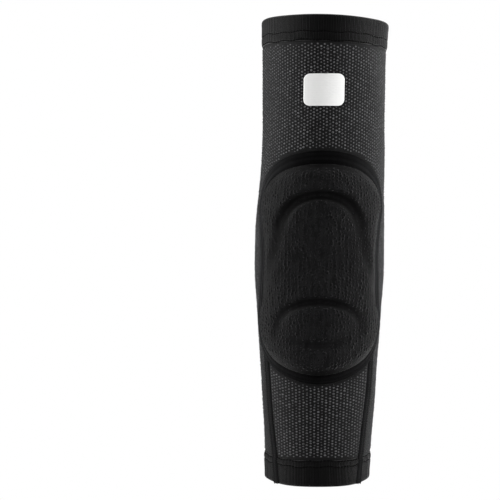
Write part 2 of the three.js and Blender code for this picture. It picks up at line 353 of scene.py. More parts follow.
# Finishes: how uneven the wales of a knit are, by the range of their tone and the length of a streak
Streak = namedtuple("Streak", "low high length")
EVEN_WALES = Streak(0.7, 1.2, 12.0)
UNEVEN_WALES = Streak(0.3, 1.75, 3.5)
STREAK_SCALE = 420.0
STREAK_DETAIL = 2.0
# Size of a wale and a course, grey levels from the knit's dips, where shade is painted, to its raised legs,
# relief and gloss of each plain knit, and its wales
Knit = namedtuple("Knit", "name wale course dark light relief rough_low rough_high specular sheen streak")
KNITS = [
    Knit("mesh_ground", 1.04, 1.1, 0.0038, 0.012, 0.16, 0.80, 0.95, 0.08, 0.12, EVEN_WALES),
    Knit("hem_knit", 1.1, 0.8, 0.0006, 0.0042, 0.14, 0.75, 0.95, 0.04, 0.29, EVEN_WALES),
    Knit("pad_knit", 1.05, 0.9, 0.0022, 0.0150, 0.16, 0.75, 0.92, 0.04, 0.14, UNEVEN_WALES),
    Knit("border_knit", 0.9, 0.8, 0.006, 0.065, 0.08, 0.85, 0.98, 0.02, 0.04, EVEN_WALES),
    Knit("seam_knit", 0.9, 0.8, 0.0015, 0.024, 0.08, 0.85, 0.98, 0.02, 0.06, EVEN_WALES),
]
# Tone, gloss and relief that the knits share
KNIT_CLOUD_SCALE = 55.0
KNIT_CLOUD_DETAIL = 4.0
KNIT_CLOUD_TONES = (0.55, 1.2)
KNIT_SHEEN_ROUGHNESS = 0.45
KNIT_BUMP = 0.8
KNIT_ROW_RELIEF = 0.3
# Share of a knit's colour left where its painted shade is full
PAINTED_SHADE_TONE = 0.05
# Part of a cloudy value's range that is spread from 0 to 1
CLOUD_MIDDLE = (0.3, 0.7)
# Slight blue of black polyester
DYE_BLUE = 1.04
# Grey levels, size of the fibres' pattern and gloss of each yarn
Yarn = namedtuple("Yarn", "name dark light fibre rough_low rough_high specular sheen")
YARNS = [
    Yarn("loop_yarn", 0.037, 0.180, 900.0, 0.55, 0.75, 0.20, 0.02),
    Yarn("pad_yarn", 0.0030, 0.0140, 900.0, 0.70, 0.85, 0.03, 0.10),
    Yarn("thread", 0.0008, 0.0045, 1500.0, 0.70, 0.90, 0.03, 0.0),
]
# Tone, gloss and relief that the yarns share
YARN_FIBRE_DETAIL = 3.0
YARN_STREAK_TONES = (0.45, 1.0)
YARN_SHEEN_ROUGHNESS = 0.35
YARN_BUMP = 0.4
YARN_RELIEF = 0.08
# White film of the print and its wear on the loops
PRINT_WHITE = (0.86, 0.86, 0.85)
PRINT_WORN = (0.76, 0.76, 0.755)
PRINT_WALE = 1.04
PRINT_COURSE = 1.12
PRINT_WEAR_SCALE = 420.0
PRINT_WEAR_DETAIL = 5.0
PRINT_WEAR = (0.2, 1.3)
PRINT_ROUGHNESS = (0.42, 0.62)
PRINT_SPECULAR = 0.35
PRINT_BUMP = 0.35
PRINT_GRAIN = 0.1

# Picture: the middle of the sleeve's axis in the photograph's frame, and the camera's place
IMAGE_SIZE = 500
AXIS_PIXEL = 320.9
PIXEL_SIZE = 0.665
CAMERA_DISTANCE = 1.6
SENSOR = 36.0
# Floor in metres, its finish and its own light, and the weak light of the room
FLOOR_DROP = 0.42
FLOOR_RADIUS = 2.3
FLOOR_SIDES = 96
FLOOR_TONES = (0.955, 0.965)
FLOOR_CLOUD_SCALE = 3.0
FLOOR_CLOUD_DETAIL = 2.0
FLOOR_ROUGHNESS = 0.9
FLOOR_SPECULAR = 0.1
FLOOR_LIGHT = 2.9
FLOOR_LIGHT_ANGLE = 60
ROOM_LIGHT = 0.08
# Soft lamps: a key lamp in front and a weaker one on each side
Lamp = namedtuple("Lamp", "name place aim width height spread power")
LAMPS = [
    Lamp("left_strip", (-1.5, 0.25, 0.45), (0, 0, 0.15), 0.9, 0.6, 60, 5.3),
    Lamp("right_strip", (1.46, 0.05, 0.6), (0, 0, 0.22), 0.9, 0.6, 46, 3.6),
    Lamp("front_soft", (0.45, -2.12, -0.4), (0, 0, 0), 0.9, 0.7, 180, 65),
]


def hermite(knots, values, at):
    """Values of a smooth curve through the knots, at the given places."""
    slopes = np.gradient(values, knots, axis=0)
    at = np.clip(at, knots[0], knots[-1])
    low = np.clip(np.searchsorted(knots, at) - 1, 0, len(knots) - 2)
    span = (knots[low + 1] - knots[low])[..., None]
    share = (at - knots[low])[..., None] / span
    rise = share**2 * (3 - 2 * share)
    leaving = share * (1 - share) ** 2 * slopes[low]
    arriving = share**2 * (1 - share) * slopes[low + 1]
    return values[low] * (1 - rise) + values[low + 1] * rise + span * (leaving - arriving)


def smoothstep(low, high, value):
    """Smooth rise from 0 at a low value to 1 at a high one."""
    share = np.clip((value - low) / (high - low), 0, 1)
    return share**2 * (3 - 2 * share)


SECTION_HEIGHTS = np.array([row.z for row in SECTIONS], float)
SECTION_VALUES = np.array([row[1:] for row in SECTIONS], float)


def ripple(angle, z):
    """Unevenness of the worn knit, in millimetres off the even surface."""
    total = np.zeros(np.broadcast(angle, z).shape)
    for row in RIPPLES:
        total = total + row.height * np.sin(row.waves * angle + TURN * z / row.length + row.start)
    return total


def on_sleeve(angle, z, lift):
    """Points of the sleeve at angles from the middle of the elbow, lifted off the tube's outer surface."""
    angle, z, lift = np.broadcast_arrays(*(np.asarray(value, float) for value in (angle, z, lift)))
    section = hermite(SECTION_HEIGHTS, SECTION_VALUES, z)
    half_width, half_depth, centre_x, centre_y = np.moveaxis(section, -1, 0)
    out_x = np.sin(angle) / half_width
    out_y = -np.cos(angle) / half_depth
    off = (lift + ripple(angle, z)) / np.hypot(out_x, out_y)
    x = centre_x + half_width * np.sin(angle) + off * out_x
    y = centre_y - half_depth * np.cos(angle) + off * out_y
    return np.stack([x, y, z], axis=-1)


def unit(vectors):
    """Vectors of length 1 in the same directions."""
    return vectors / np.linalg.norm(vectors, axis=-1, keepdims=True)


def sleeve_directions(angle, z):
    """Directions out of the sleeve and up along it."""
    turn_step = 0.002
    rise_step = 0.2
    round_it = on_sleeve(angle + turn_step, z, 0) - on_sleeve(angle - turn_step, z, 0)
    up = on_sleeve(angle, z + rise_step, 0) - on_sleeve(angle, z - rise_step, 0)
    return unit(np.cross(round_it, up)), unit(up)


def rim_height(rim, angle):
    """Height of a rim at angles round the sleeve."""
    point = on_sleeve(angle, rim.z, 0)
    slanted = rim.z + rim.slope_x * point[..., 0] + rim.slope_y * point[..., 1]
    return slanted + rim.bow * np.sin(angle) ** 4


def lengths_along(line):
    """Length of a line of points from its start to each of them."""
    return np.concatenate([[0], np.cumsum(np.linalg.norm(np.diff(line, axis=0), axis=1))])


def evenly_spaced(line, count, endpoint):
    """Points at even distances along a line of points."""
    lengths = lengths_along(line)
    even = np.linspace(0, lengths[-1], count, endpoint=endpoint)
    return np.stack([np.interp(even, lengths, column) for column in line.T], axis=1)


def smooth_curve(points, count, closed=False):
    """Evenly spaced points of a smooth curve through the given points."""
    wrap = 3
    dense_count = 4000
    points = np.asarray(points, float)
    if closed:
        points = np.concatenate([points[-wrap:], points, points[: wrap + 1]])
    chords = np.linalg.norm(np.diff(points, axis=0), axis=1)
    knots = np.concatenate([[0], np.cumsum(np.sqrt(chords))])
    ends = (knots[wrap], knots[-wrap - 1]) if closed else (knots[0], knots[-1])
    dense = hermite(knots, points, np.linspace(*ends, dense_count))
    return evenly_spaced(dense, count, endpoint=not closed)


def flat_points(rows, side):
    """Points of the flat pad layout, on the right (side 1) or the left (side -1)."""
    return [(side * math.radians(row.angle) * PAD_RADIUS, row.z) for row in rows]


def mirrored_curve(rows, count):
    """Curve across the pad from its left end to its right end, from its right half."""
    return smooth_curve(flat_points(rows[:0:-1], -1) + flat_points(rows, 1), count)


def outline_course(count):
    """Points of the pad's outline, clockwise, and the direction along it."""
    points = flat_points(PAD_OUTLINE, 1) + flat_points(PAD_OUTLINE[-2:0:-1], -1)
    curve = smooth_curve(points, count, closed=True)
    return curve, unit(np.roll(curve, -1, axis=0) - np.roll(curve, 1, axis=0))


def by_course(along, at_side, at_top, at_foot, power=2):
    """Value along the outline, from one at the pad's sides to others at its top and its foot."""
    at_end = np.where(along[:, 0] > 0, at_top, at_foot)
    return at_side + (at_end - at_side) * np.abs(along[:, 0]) ** power


def outline(inset, count=OUTLINE_POINTS):
    """Points of the pad's outline, moved inwards by a distance, and by more at the pad's top and foot."""
    curve, along = outline_course(count)
    wider = by_course(along, PAD_EDGE_INSET, PAD_TOP_INSET, PAD_FOOT_INSET) / PAD_EDGE_INSET
    return curve + inset * wider[:, None] * np.stack([along[:, 1], -along[:, 0]], axis=1)


def nearest(points, line):
    """Distance of each flat point to a line of points, and the share along the line where that is."""
    tree = KDTree(len(line))
    for number, (across, up) in enumerate(line):
        tree.insert((across, up, 0), number)
    tree.balance()
    found = [tree.find((across, up, 0)) for across, up in points]
    distance = np.array([entry[2] for entry in found])
    return distance, np.array([entry[1] for entry in found]) / (len(line) - 1)


def inside(points, line):
    """Whether each flat point lies inside a closed line."""
    within = np.zeros(len(points), bool)
    for (start_x, start_y), (end_x, end_y) in zip(line, np.roll(line, -1, axis=0)):
        if start_y == end_y:
            continue
        spans = (start_y > points[:, 1]) != (end_y > points[:, 1])
        crossing = start_x + (points[:, 1] - start_y) / (end_y - start_y) * (end_x - start_x)
        within ^= spans & (points[:, 0] < crossing)
    return within


# Meshes

def scene_object(name, data):
    """New object in the scene."""
    made = bpy.data.objects.new(name, data)
    bpy.context.scene.collection.objects.link(made)
    return made


def quad_faces(rows, columns, wrap_rows, wrap_columns):
    """Row and column numbers of the four corners of each quad of a grid."""
    last_row = rows if wrap_rows else rows - 1
    last_column = columns if wrap_columns else columns - 1
    row, column = np.meshgrid(np.arange(last_row), np.arange(last_column), indexing="ij")
    row_corners = np.stack([row, row, row + 1, row + 1], axis=-1).reshape(-1, 4)
    column_corners = np.stack([column, column + 1, column + 1, column], axis=-1).reshape(-1, 4)
    return row_corners, column_corners


def signed_volume(points, faces):
    """Six times the volume that quads or triangles enclose, negative where they face inwards."""
    total = 0.0
    for corner in range(1, faces.shape[1] - 1):
        first, second, third = (points[faces[:, number]] for number in (0, corner, corner + 1))
        total += np.einsum("ij,ij->", first, np.cross(second, third))
    return total


def mesh_piece(name, points, face_groups, map_groups, material):
    """Closed piece from points in millimetres. Faces and cloth map come in groups of one corner count."""
    volume = sum(signed_volume(points, faces) for faces in face_groups)
    if volume < 0:
        face_groups = [faces[:, ::-1] for faces in face_groups]
        map_groups = [places[:, ::-1] for places in map_groups]
    mesh = bpy.data.meshes.new(name)
    faces = [face for group in face_groups for face in group.tolist()]
    mesh.from_pydata((points * MM).tolist(), [], faces)
    places = np.concatenate([group.reshape(-1, 2) for group in map_groups])
    mesh.uv_layers.new(name=CLOTH_MAP).data.foreach_set("uv", places.astype(np.float32).ravel())
    mesh.shade_smooth()
    mesh.materials.append(material)
    return scene_object(name, mesh)


def set_pressed_and_shade(piece, pressed):
    """Stores painted shade at a piece's first points, from 0 to 1, where the cloth is sewn flat or lies in
    a groove or crease; the others get none.
    """
    values = np.zeros(len(piece.data.vertices), np.float32)
    values[: np.size(pressed)] = np.ravel(pressed)
    piece.data.attributes.new(PRESSED_AND_SHADE, "FLOAT", "POINT").data.foreach_set("value", values)


def grid_piece(name, points, cloth, material, wrap_rows=False, wrap_columns=False):
    """Closed piece from a grid of points. The cloth map has one more row or column where the grid wraps."""
    rows, columns = points.shape[:2]
    row_corners, column_corners = quad_faces(rows, columns, wrap_rows, wrap_columns)
    faces = (row_corners % rows) * columns + column_corners % columns
    places = cloth[row_corners, column_corners]
    return mesh_piece(name, points.reshape(-1, 3), [faces], [places], material)


def domed_piece(name, rings, ring_maps, poles, pole_maps, material):
    """Closed piece from rings of equally many points, with a fan to a pole at each end."""
    rows, columns = rings.shape[:2]
    row_corners, column_corners = quad_faces(rows, columns, False, True)
    points = np.concatenate([rings.reshape(-1, 3), poles])
    quads = row_corners * columns + column_corners % columns
    places = ring_maps[row_corners, column_corners % columns]
    step = np.arange(columns)
    after = (step + 1) % columns
    last = (rows - 1) * columns
    fans = np.concatenate([
        np.stack([np.full(columns, rows * columns), after, step], axis=1),
        np.stack([np.full(columns, rows * columns + 1), last + step, last + after], axis=1),
    ])
    flat_maps = np.concatenate([ring_maps.reshape(-1, 2), pole_maps])
    return mesh_piece(name, points, [quads, fans], [places, flat_maps[fans]], material)


# Repeated small shapes, by Geometry Nodes

class NodeSheet:
    """Adds nodes to one tree and joins them."""

    def __init__(self, tree):
        self.tree = tree

    def add(self, kind, inputs=None, **settings):
        node = self.tree.nodes.new(kind)
        for name, value in settings.items():
            setattr(node, name, value)
        for name, value in (inputs or {}).items():
            self.feed(node.inputs[name], value)
        return node

    def feed(self, socket, value):
        if isinstance(value, bpy.types.NodeSocket):
            self.tree.links.new(value, socket)
        else:
            socket.default_value = value

    def math(self, operation, *values):
        node = self.add("ShaderNodeMath", operation=operation)
        for socket, value in zip(node.inputs, values):
            self.feed(socket, value)
        return node.outputs[0]


def shape_tree(name, inputs):
    """Empty Geometry Nodes tree with named inputs, as (node sheet, input node, output node)."""
    tree = bpy.data.node_groups.new(name, "GeometryNodeTree")
    tree.interface.new_socket("Geometry", in_out="INPUT", socket_type="NodeSocketGeometry")
    for label, kind in inputs.items():
        tree.interface.new_socket(label, in_out="INPUT", socket_type=kind)
    tree.interface.new_socket("Geometry", in_out="OUTPUT", socket_type="NodeSocketGeometry")
    sheet = NodeSheet(tree)
    return sheet, sheet.add("NodeGroupInput").outputs, sheet.add("NodeGroupOutput").inputs


def finish_tree(sheet, instances, given, result):
    """Ends a tree: real geometry, smooth, in the given material."""
    real = sheet.add("GeometryNodeRealizeInstances", {"Geometry": instances})
    smooth = sheet.add("GeometryNodeSetShadeSmooth", {"Geometry": real.outputs["Geometry"]})
    coloured = sheet.add("GeometryNodeSetMaterial", {
        "Geometry": smooth.outputs["Geometry"],
        "Material": given["Material"],
    })
    sheet.feed(result["Geometry"], coloured.outputs["Geometry"])
    return sheet.tree


def set_vectors(mesh, name, vectors):
    """Stores a vector for each point of a mesh."""
    attribute = mesh.attributes.new(name, "FLOAT_VECTOR", "POINT")
    attribute.data.foreach_set("vector", vectors.astype(np.float32).ravel())


def named_vector(sheet, name):
    """Vector that the points of a tree's mesh hold under a name."""
    node = sheet.add("GeometryNodeInputNamedAttribute", {"Name": name}, data_type="FLOAT_VECTOR")
    return node.outputs["Attribute"]


def loop_tree():
    """One rounded knit loop on each point, turned to face out of the cloth."""
    sheet, given, result = shape_tree("knit_loops", {
        "Across": "NodeSocketFloat",
        "Along": "NodeSocketFloat",
        "Thick": "NodeSocketFloat",
        "Jitter": "NodeSocketFloat",
        "Seed": "NodeSocketInt",
        "Material": "NodeSocketMaterial",
    })
    bead = sheet.add("GeometryNodeMeshIcoSphere", {"Radius": UNIT_RADIUS, "Subdivisions": 1})
    turned = sheet.add("FunctionNodeAxesToRotation", {
        "Primary Axis": named_vector(sheet, "facing"),
        "Secondary Axis": named_vector(sheet, "along"),
    }, primary_axis="Z", secondary_axis="Y")
    size = sheet.add("ShaderNodeCombineXYZ", {
        "X": given["Across"],
        "Y": given["Along"],
        "Z": given["Thick"],
    })
    chance = sheet.add("FunctionNodeRandomValue", {
        "Min": sheet.math("SUBTRACT", 1.0, given["Jitter"]),
        "Max": sheet.math("ADD", 1.0, given["Jitter"]),
        "Seed": given["Seed"],
    }, data_type="FLOAT")
    varied = sheet.add("ShaderNodeVectorMath", {"Vector": size.outputs["Vector"]}, operation="SCALE")
    own_size = sheet.add("GeometryNodeInputNamedAttribute", {"Name": "size"}, data_type="FLOAT")
    by_chance = next(socket for socket in chance.outputs if socket.enabled)
    sheet.feed(varied.inputs["Scale"], sheet.math("MULTIPLY", own_size.outputs["Attribute"], by_chance))
    placed = sheet.add("GeometryNodeInstanceOnPoints", {
        "Points": given["Geometry"],
        "Instance": bead.outputs["Mesh"],
        "Rotation": turned.outputs["Rotation"],
        "Scale": varied.outputs["Vector"],
    })
    return finish_tree(sheet, placed.outputs["Instances"], given, result)


def stitch_tree():
    """Stitches at an even pitch along a line, lying on the cloth."""
    sheet, given, result = shape_tree("stitch_row", {
        "Pitch": "NodeSocketFloat",
        "Length": "NodeSocketFloat",
        "Width": "NodeSocketFloat",
        "Thick": "NodeSocketFloat",
        "Turn": "NodeSocketFloat",
        "Material": "NodeSocketMaterial",
    })
    line = sheet.add("GeometryNodeMeshToCurve", {"Mesh": given["Geometry"]})
    spaced = sheet.add("GeometryNodeResampleCurve", {
        "Curve": line.outputs["Curve"],
        "Length": given["Pitch"],
    }, mode="LENGTH")
    tangent = sheet.add("GeometryNodeInputTangent")
    turned = sheet.add("FunctionNodeAxesToRotation", {
        "Primary Axis": named_vector(sheet, "facing"),
        "Secondary Axis": tangent.outputs["Tangent"],
    }, primary_axis="Z", secondary_axis="X")
    own_turn = sheet.add("FunctionNodeAxisAngleToRotation", {"Axis": (0, 0, 1), "Angle": given["Turn"]})
    leaning = sheet.add("FunctionNodeRotateRotation", {
        "Rotation": turned.outputs["Rotation"],
        "Rotate By": own_turn.outputs["Rotation"],
    }, rotation_space="LOCAL")
    thread = sheet.add("GeometryNodeMeshUVSphere", {
        "Segments": STITCH_SIDES,
        "Rings": STITCH_RINGS,
        "Radius": UNIT_RADIUS,
    })
    lying = sheet.add("GeometryNodeTransform", {
        "Geometry": thread.outputs["Mesh"],
        "Rotation": (0, math.pi / 2, 0),
    })
    size = sheet.add("ShaderNodeCombineXYZ", {
        "X": given["Length"],
        "Y": given["Width"],
        "Z": given["Thick"],
    })
    placed = sheet.add("GeometryNodeInstanceOnPoints", {
        "Points": spaced.outputs["Curve"],
        "Instance": lying.outputs["Geometry"],
        "Rotation": leaning.outputs["Rotation"],
        "Scale": size.outputs["Vector"],
    })
    return finish_tree(sheet, placed.outputs["Instances"], given, result)


def made_by_tree(name, mesh, tree, inputs):
    """Runs a tree on a mesh and keeps the result as a plain piece."""
    piece = scene_object(name, mesh)
    modifier = piece.modifiers.new(tree.name, "NODES")
    modifier.node_group = tree
    sockets = {item.name: item for item in tree.interface.items_tree if item.in_out == "INPUT"}
    for label, value in inputs.items():
        modifier[sockets[label].identifier] = value
    graph = bpy.context.evaluated_depsgraph_get()
    made = bpy.data.meshes.new_from_object(piece.evaluated_get(graph), depsgraph=graph)
    piece.modifiers.remove(modifier)
    piece.data = made
    made.name = name
    for label in ("facing", "along", "size"):
        if label in made.attributes:
            made.attributes.remove(made.attributes[label])
    return piece


def loop_piece(name, places, facing, along, shares, size, material):
    """Knit loops on points of the cloth, each at a share of the full size."""
    mesh = bpy.data.meshes.new(name + "_points")
    mesh.from_pydata(((places + size.lift * facing) * MM).tolist(), [], [])
    set_vectors(mesh, "facing", facing)
    set_vectors(mesh, "along", along)
    mesh.attributes.new("size", "FLOAT", "POINT").data.foreach_set("value", shares.astype(np.float32))
    return made_by_tree(name, mesh, LOOP_TREE, {
        "Across": size.across * MM,
        "Along": size.along * MM,
        "Thick": size.thick * MM,
        "Jitter": LOOP_JITTER,
        "Seed": LOOP_SEED,
        "Material": material,
    })


def stitch_piece(name, lines, kind, material):
    """Rows of stitches. A line is (points, facing, whether it closes)."""
    places = []
    facings = []
    edges = []
    count = 0
    for points, facing, closed in lines:
        number = np.arange(len(points)) + count
        pairs = np.stack([number, np.roll(number, -1)], axis=1)
        edges.append(pairs if closed else pairs[:-1])
        places.append(points)
        facings.append(facing)
        count += len(points)
    mesh = bpy.data.meshes.new(name + "_lines")
    mesh.from_pydata((np.concatenate(places) * MM).tolist(), np.concatenate(edges).tolist(), [])
    set_vectors(mesh, "facing", np.concatenate(facings))
    return made_by_tree(name, mesh, STITCH_TREE, {
        "Pitch": kind.pitch * MM,
        "Length": kind.length * MM,
        "Width": kind.width * MM,
        "Thick": kind.thick * MM,
        "Turn": math.radians(kind.turn),
        "Material": material,
    })


# Materials

def new_material(name, specular, sheen=0.0, sheen_roughness=0.5):
    """Material, its node sheet and its shader, with the constants on the shader's own sockets."""
    material = bpy.data.materials.new(name)
    material.use_nodes = True
    shader = material.node_tree.nodes["Principled BSDF"]
    shader.inputs["Specular IOR Level"].default_value = specular
    shader.inputs["Sheen Weight"].default_value = sheen
    shader.inputs["Sheen Roughness"].default_value = sheen_roughness
    return material, NodeSheet(material.node_tree), shader


def clouds(sheet, place, scale, detail):
    """Cloudy value from 0 to 1, by place."""
    noise = sheet.add("ShaderNodeTexNoise", {"Vector": place, "Scale": scale, "Detail": detail})
    return noise.outputs["Fac"]


def mottle(sheet, scale, detail):
    """Cloudy value from 0 to 1 over the piece."""
    place = sheet.add("ShaderNodeTexCoord")
    return clouds(sheet, place.outputs["Object"], scale, detail)


def contrast(sheet, value):
    """Spreads the middle of a cloudy value over the range from 0 to 1."""
    low, high = CLOUD_MIDDLE
    node = sheet.add("ShaderNodeMapRange", {"Value": value, "From Min": low, "From Max": high})
    return node.outputs["Result"]


def knit_height(sheet, wale, course):
    """Height of plain knit over the cloth map: two slanted legs in each wale."""
    cloth = sheet.add("ShaderNodeUVMap", uv_map=CLOTH_MAP)
    place = sheet.add("ShaderNodeSeparateXYZ", {"Vector": cloth.outputs["UV"]})
    across = sheet.math("DIVIDE", place.outputs["X"], wale)
    along = sheet.math("DIVIDE", place.outputs["Y"], course)
    half_wale = 0.5
    slant = sheet.math("SUBTRACT", along, sheet.math("PINGPONG", across, half_wale))
    row = sheet.math("COSINE", sheet.math("MULTIPLY", slant, TURN))
    leg = sheet.math("ABSOLUTE", sheet.math("SINE", sheet.math("MULTIPLY", across, TURN)))
    rows = sheet.math("MULTIPLY_ADD", row, KNIT_ROW_RELIEF, 1 - KNIT_ROW_RELIEF)
    return sheet.math("MULTIPLY", leg, rows)


def colour_between(sheet, value, low, high):
    """Colour that goes from a low one to a high one as a value goes from 0 to 1."""
    mix = sheet.add("ShaderNodeMix", data_type="RGBA")
    sheet.feed(mix.inputs["Factor"], value)
    colours = [socket for socket in mix.inputs if socket.type == "RGBA"]
    colours[0].default_value = (*low, 1)
    colours[1].default_value = (*high, 1)
    return next(socket for socket in mix.outputs if socket.type == "RGBA")


def range_between(sheet, value, low, high):
    """Number that goes from a low one to a high one as a value goes from 0 to 1."""
    node = sheet.add("ShaderNodeMapRange", {"Value": value, "To Min": low, "To Max": high})
    return node.outputs["Result"]


def emboss(sheet, shader, height, strength, depth):
    """Raises a shader's surface by a height value that stands for a depth in millimetres."""
    bump = sheet.add("ShaderNodeBump", {"Strength": strength, "Distance": depth * MM, "Height": height})
    sheet.feed(shader.inputs["Normal"], bump.outputs["Normal"])


def grey(level):
    """Nearly neutral grey of black polyester."""
    return (level, level, level * DYE_BLUE)


def streaks(sheet, length):
    """Value from 0 to 1 in thin streaks along the sleeve, as uneven wales make."""
    place = sheet.add("ShaderNodeTexCoord")
    long = sheet.add("ShaderNodeMapping", {
        "Vector": place.outputs["Object"],
        "Scale": (1.0, 1.0, 1.0 / length),
    })
    return contrast(sheet, clouds(sheet, long.outputs["Vector"], STREAK_SCALE, STREAK_DETAIL))


def knit_material(knit):
    """Plain knitted cloth with stitches in relief and an uneven tone, with painted shade in its dips, and
    painted shade from the shade attribute in grooves, creases and beside the trim.
    """
    material, sheet, shader = new_material(knit.name, knit.specular, knit.sheen, KNIT_SHEEN_ROUGHNESS)
    height = knit_height(sheet, knit.wale, knit.course)
    cloud = mottle(sheet, KNIT_CLOUD_SCALE, KNIT_CLOUD_DETAIL)
    pressed = sheet.add("ShaderNodeAttribute", attribute_name=PRESSED_AND_SHADE).outputs["Fac"]
    streak = range_between(sheet, streaks(sheet, knit.streak.length), knit.streak.low, knit.streak.high)
    uneven = sheet.math("MULTIPLY", range_between(sheet, cloud, *KNIT_CLOUD_TONES), streak)
    # The knit's dips take the dark grey and its raised legs the light one: painted shade in the dips,
    # varied by clouds and streaks
    tone = sheet.math("MULTIPLY", height, uneven)
    colour = colour_between(sheet, tone, grey(knit.dark), grey(knit.light))
    # Painted shade: the shade attribute darkens the colour, down to a small share of it where it is full
    shaded = sheet.add("ShaderNodeVectorMath", {"Vector": colour}, operation="SCALE")
    sheet.feed(shaded.inputs["Scale"], range_between(sheet, pressed, 1.0, PAINTED_SHADE_TONE))
    sheet.feed(shader.inputs["Base Color"], shaded.outputs["Vector"])
    sheet.feed(shader.inputs["Roughness"], range_between(sheet, cloud, knit.rough_low, knit.rough_high))
    emboss(sheet, shader, height, KNIT_BUMP, knit.relief)
    return material


def yarn_material(yarn):
    """Yarn or thread, with fibres that vary its tone."""
    material, sheet, shader = new_material(yarn.name, yarn.specular, yarn.sheen, YARN_SHEEN_ROUGHNESS)
    streak = range_between(sheet, streaks(sheet, EVEN_WALES.length), *YARN_STREAK_TONES)
    fibres = contrast(sheet, mottle(sheet, yarn.fibre, YARN_FIBRE_DETAIL))
    fibre = sheet.math("MULTIPLY", fibres, streak)
    sheet.feed(shader.inputs["Base Color"], colour_between(sheet, fibre, grey(yarn.dark), grey(yarn.light)))
    sheet.feed(shader.inputs["Roughness"], range_between(sheet, fibre, yarn.rough_low, yarn.rough_high))
    emboss(sheet, shader, fibre, YARN_BUMP, YARN_RELIEF)
    return material


def print_material(name):
    """White heat-transfer film that has taken the knit's grain, a little worn on the loops."""
    material, sheet, shader = new_material(name, PRINT_SPECULAR)
    height = knit_height(sheet, PRINT_WALE, PRINT_COURSE)
    wear = mottle(sheet, PRINT_WEAR_SCALE, PRINT_WEAR_DETAIL)
    worn = sheet.math("MULTIPLY", height, range_between(sheet, wear, *PRINT_WEAR))
    sheet.feed(shader.inputs["Base Color"], colour_between(sheet, worn, PRINT_WHITE, PRINT_WORN))
    sheet.feed(shader.inputs["Roughness"], range_between(sheet, wear, *PRINT_ROUGHNESS))
    emboss(sheet, shader, height, PRINT_BUMP, PRINT_GRAIN)
    return material


KNIT = {row.name: knit_material(row) for row in KNITS}
YARN = {row.name: yarn_material(row) for row in YARNS}
PRINT_FILM = print_material("print_film")
LOOP_TREE = loop_tree()
STITCH_TREE = stitch_tree()


# Sleeve and hems

def round_angles(count):
    """Evenly spaced angles once round the sleeve."""
    return np.arange(count) * TURN / count


def wrapped(angle):
    """Angles from the middle of the elbow, at most half a turn to either side."""
    return (angle + math.pi) % TURN - math.pi


def laid_flat(angle, z):
    """Points of the tube in the pad's flat layout."""
    return np.stack([wrapped(angle) * PAD_RADIUS, z], axis=1)


def seam_line(side):
    """Flat middle line of a side seam, from its top down."""
    return smooth_curve(flat_points(SIDE_SEAM, side), SEAM_STEPS)


def seam_side(angle, z):
    """How many millimetres points lie behind the side seams' middle lines, negative on the front panel."""
    line = seam_line(1)[::-1]
    seam_across = np.interp(z, line[:, 1], line[:, 0])
    return np.abs(wrapped(angle)) * PAD_RADIUS - seam_across


def to_border(angle, z):
    """Distance in millimetres from points of the tube to the pad's border, none inside it."""
    flat = laid_flat(angle, z)
    distance, _ = nearest(flat, outline(0))
    distance[inside(flat, outline(0))] = 0
    return distance


def to_seams(angle, z):
    """Distance in millimetres from points of the tube to the edge of a side seam."""
    distance = np.maximum(0, np.abs(seam_side(angle, z)) - SEAM_WIDTH / 2)
    distance[z > SIDE_SEAM[0].z] = np.inf
    return distance


def to_hems(angle, z):
    """Distance in millimetres from points of the tube to the nearer hem."""
    to_upper = rim_height(UPPER_RIM, angle) - CUFF_HEIGHT - z
    to_lower = z - rim_height(LOWER_RIM, angle) - CUFF_HEIGHT
    return np.maximum(0, np.minimum(to_upper, to_lower))


def sleeve_wall():
    """Knitted tube between the hems, with an outer and an inner face, tucked into both hems."""
    angle = round_angles(WALL_AROUND)[None, :]
    low = rim_height(LOWER_RIM, angle) + CUFF_HEIGHT - WALL_TUCK
    high = rim_height(UPPER_RIM, angle) - CUFF_HEIGHT + WALL_TUCK
    z = low + (high - low) * np.linspace(0, 1, WALL_ROWS)[:, None]
    inner_z = high - (high - low) * np.linspace(0, 1, WALL_INNER_ROWS)[:, None]
    every_angle = np.broadcast_to(angle, z.shape)
    place = (every_angle.ravel(), z.ravel())
    to_trim = np.minimum.reduce([to_border(*place), to_seams(*place), to_hems(*place)])
    beside = 1 - smoothstep(0, TRIM_PINCH_REACH, to_trim)
    outer = on_sleeve(angle, z, -TRIM_PINCH * beside.reshape(z.shape))
    inner = on_sleeve(angle, inner_z, -KNIT_WALL)
    points = np.concatenate([outer, inner])
    across = np.linspace(0, TURN * PAD_RADIUS, WALL_AROUND + 1)
    up = np.concatenate([outer[:, 0, 2], inner[:, 0, 2], outer[:1, 0, 2]])
    cloth = np.stack(np.meshgrid(across, up), axis=-1)
    wall = grid_piece("sleeve_knit", points, cloth, KNIT["mesh_ground"], wrap_rows=True, wrap_columns=True)
    # Painted shade along the pinched line beside the trim
    set_pressed_and_shade(wall, beside)
    return wall


def hem_waver(angle):
    """How far a hem's sewn lines stray from their height, at angles round the sleeve."""
    return HEM_LINE_WAVER * sum(np.sin(waves * angle + waves) for waves in HEM_LINE_WAVES)


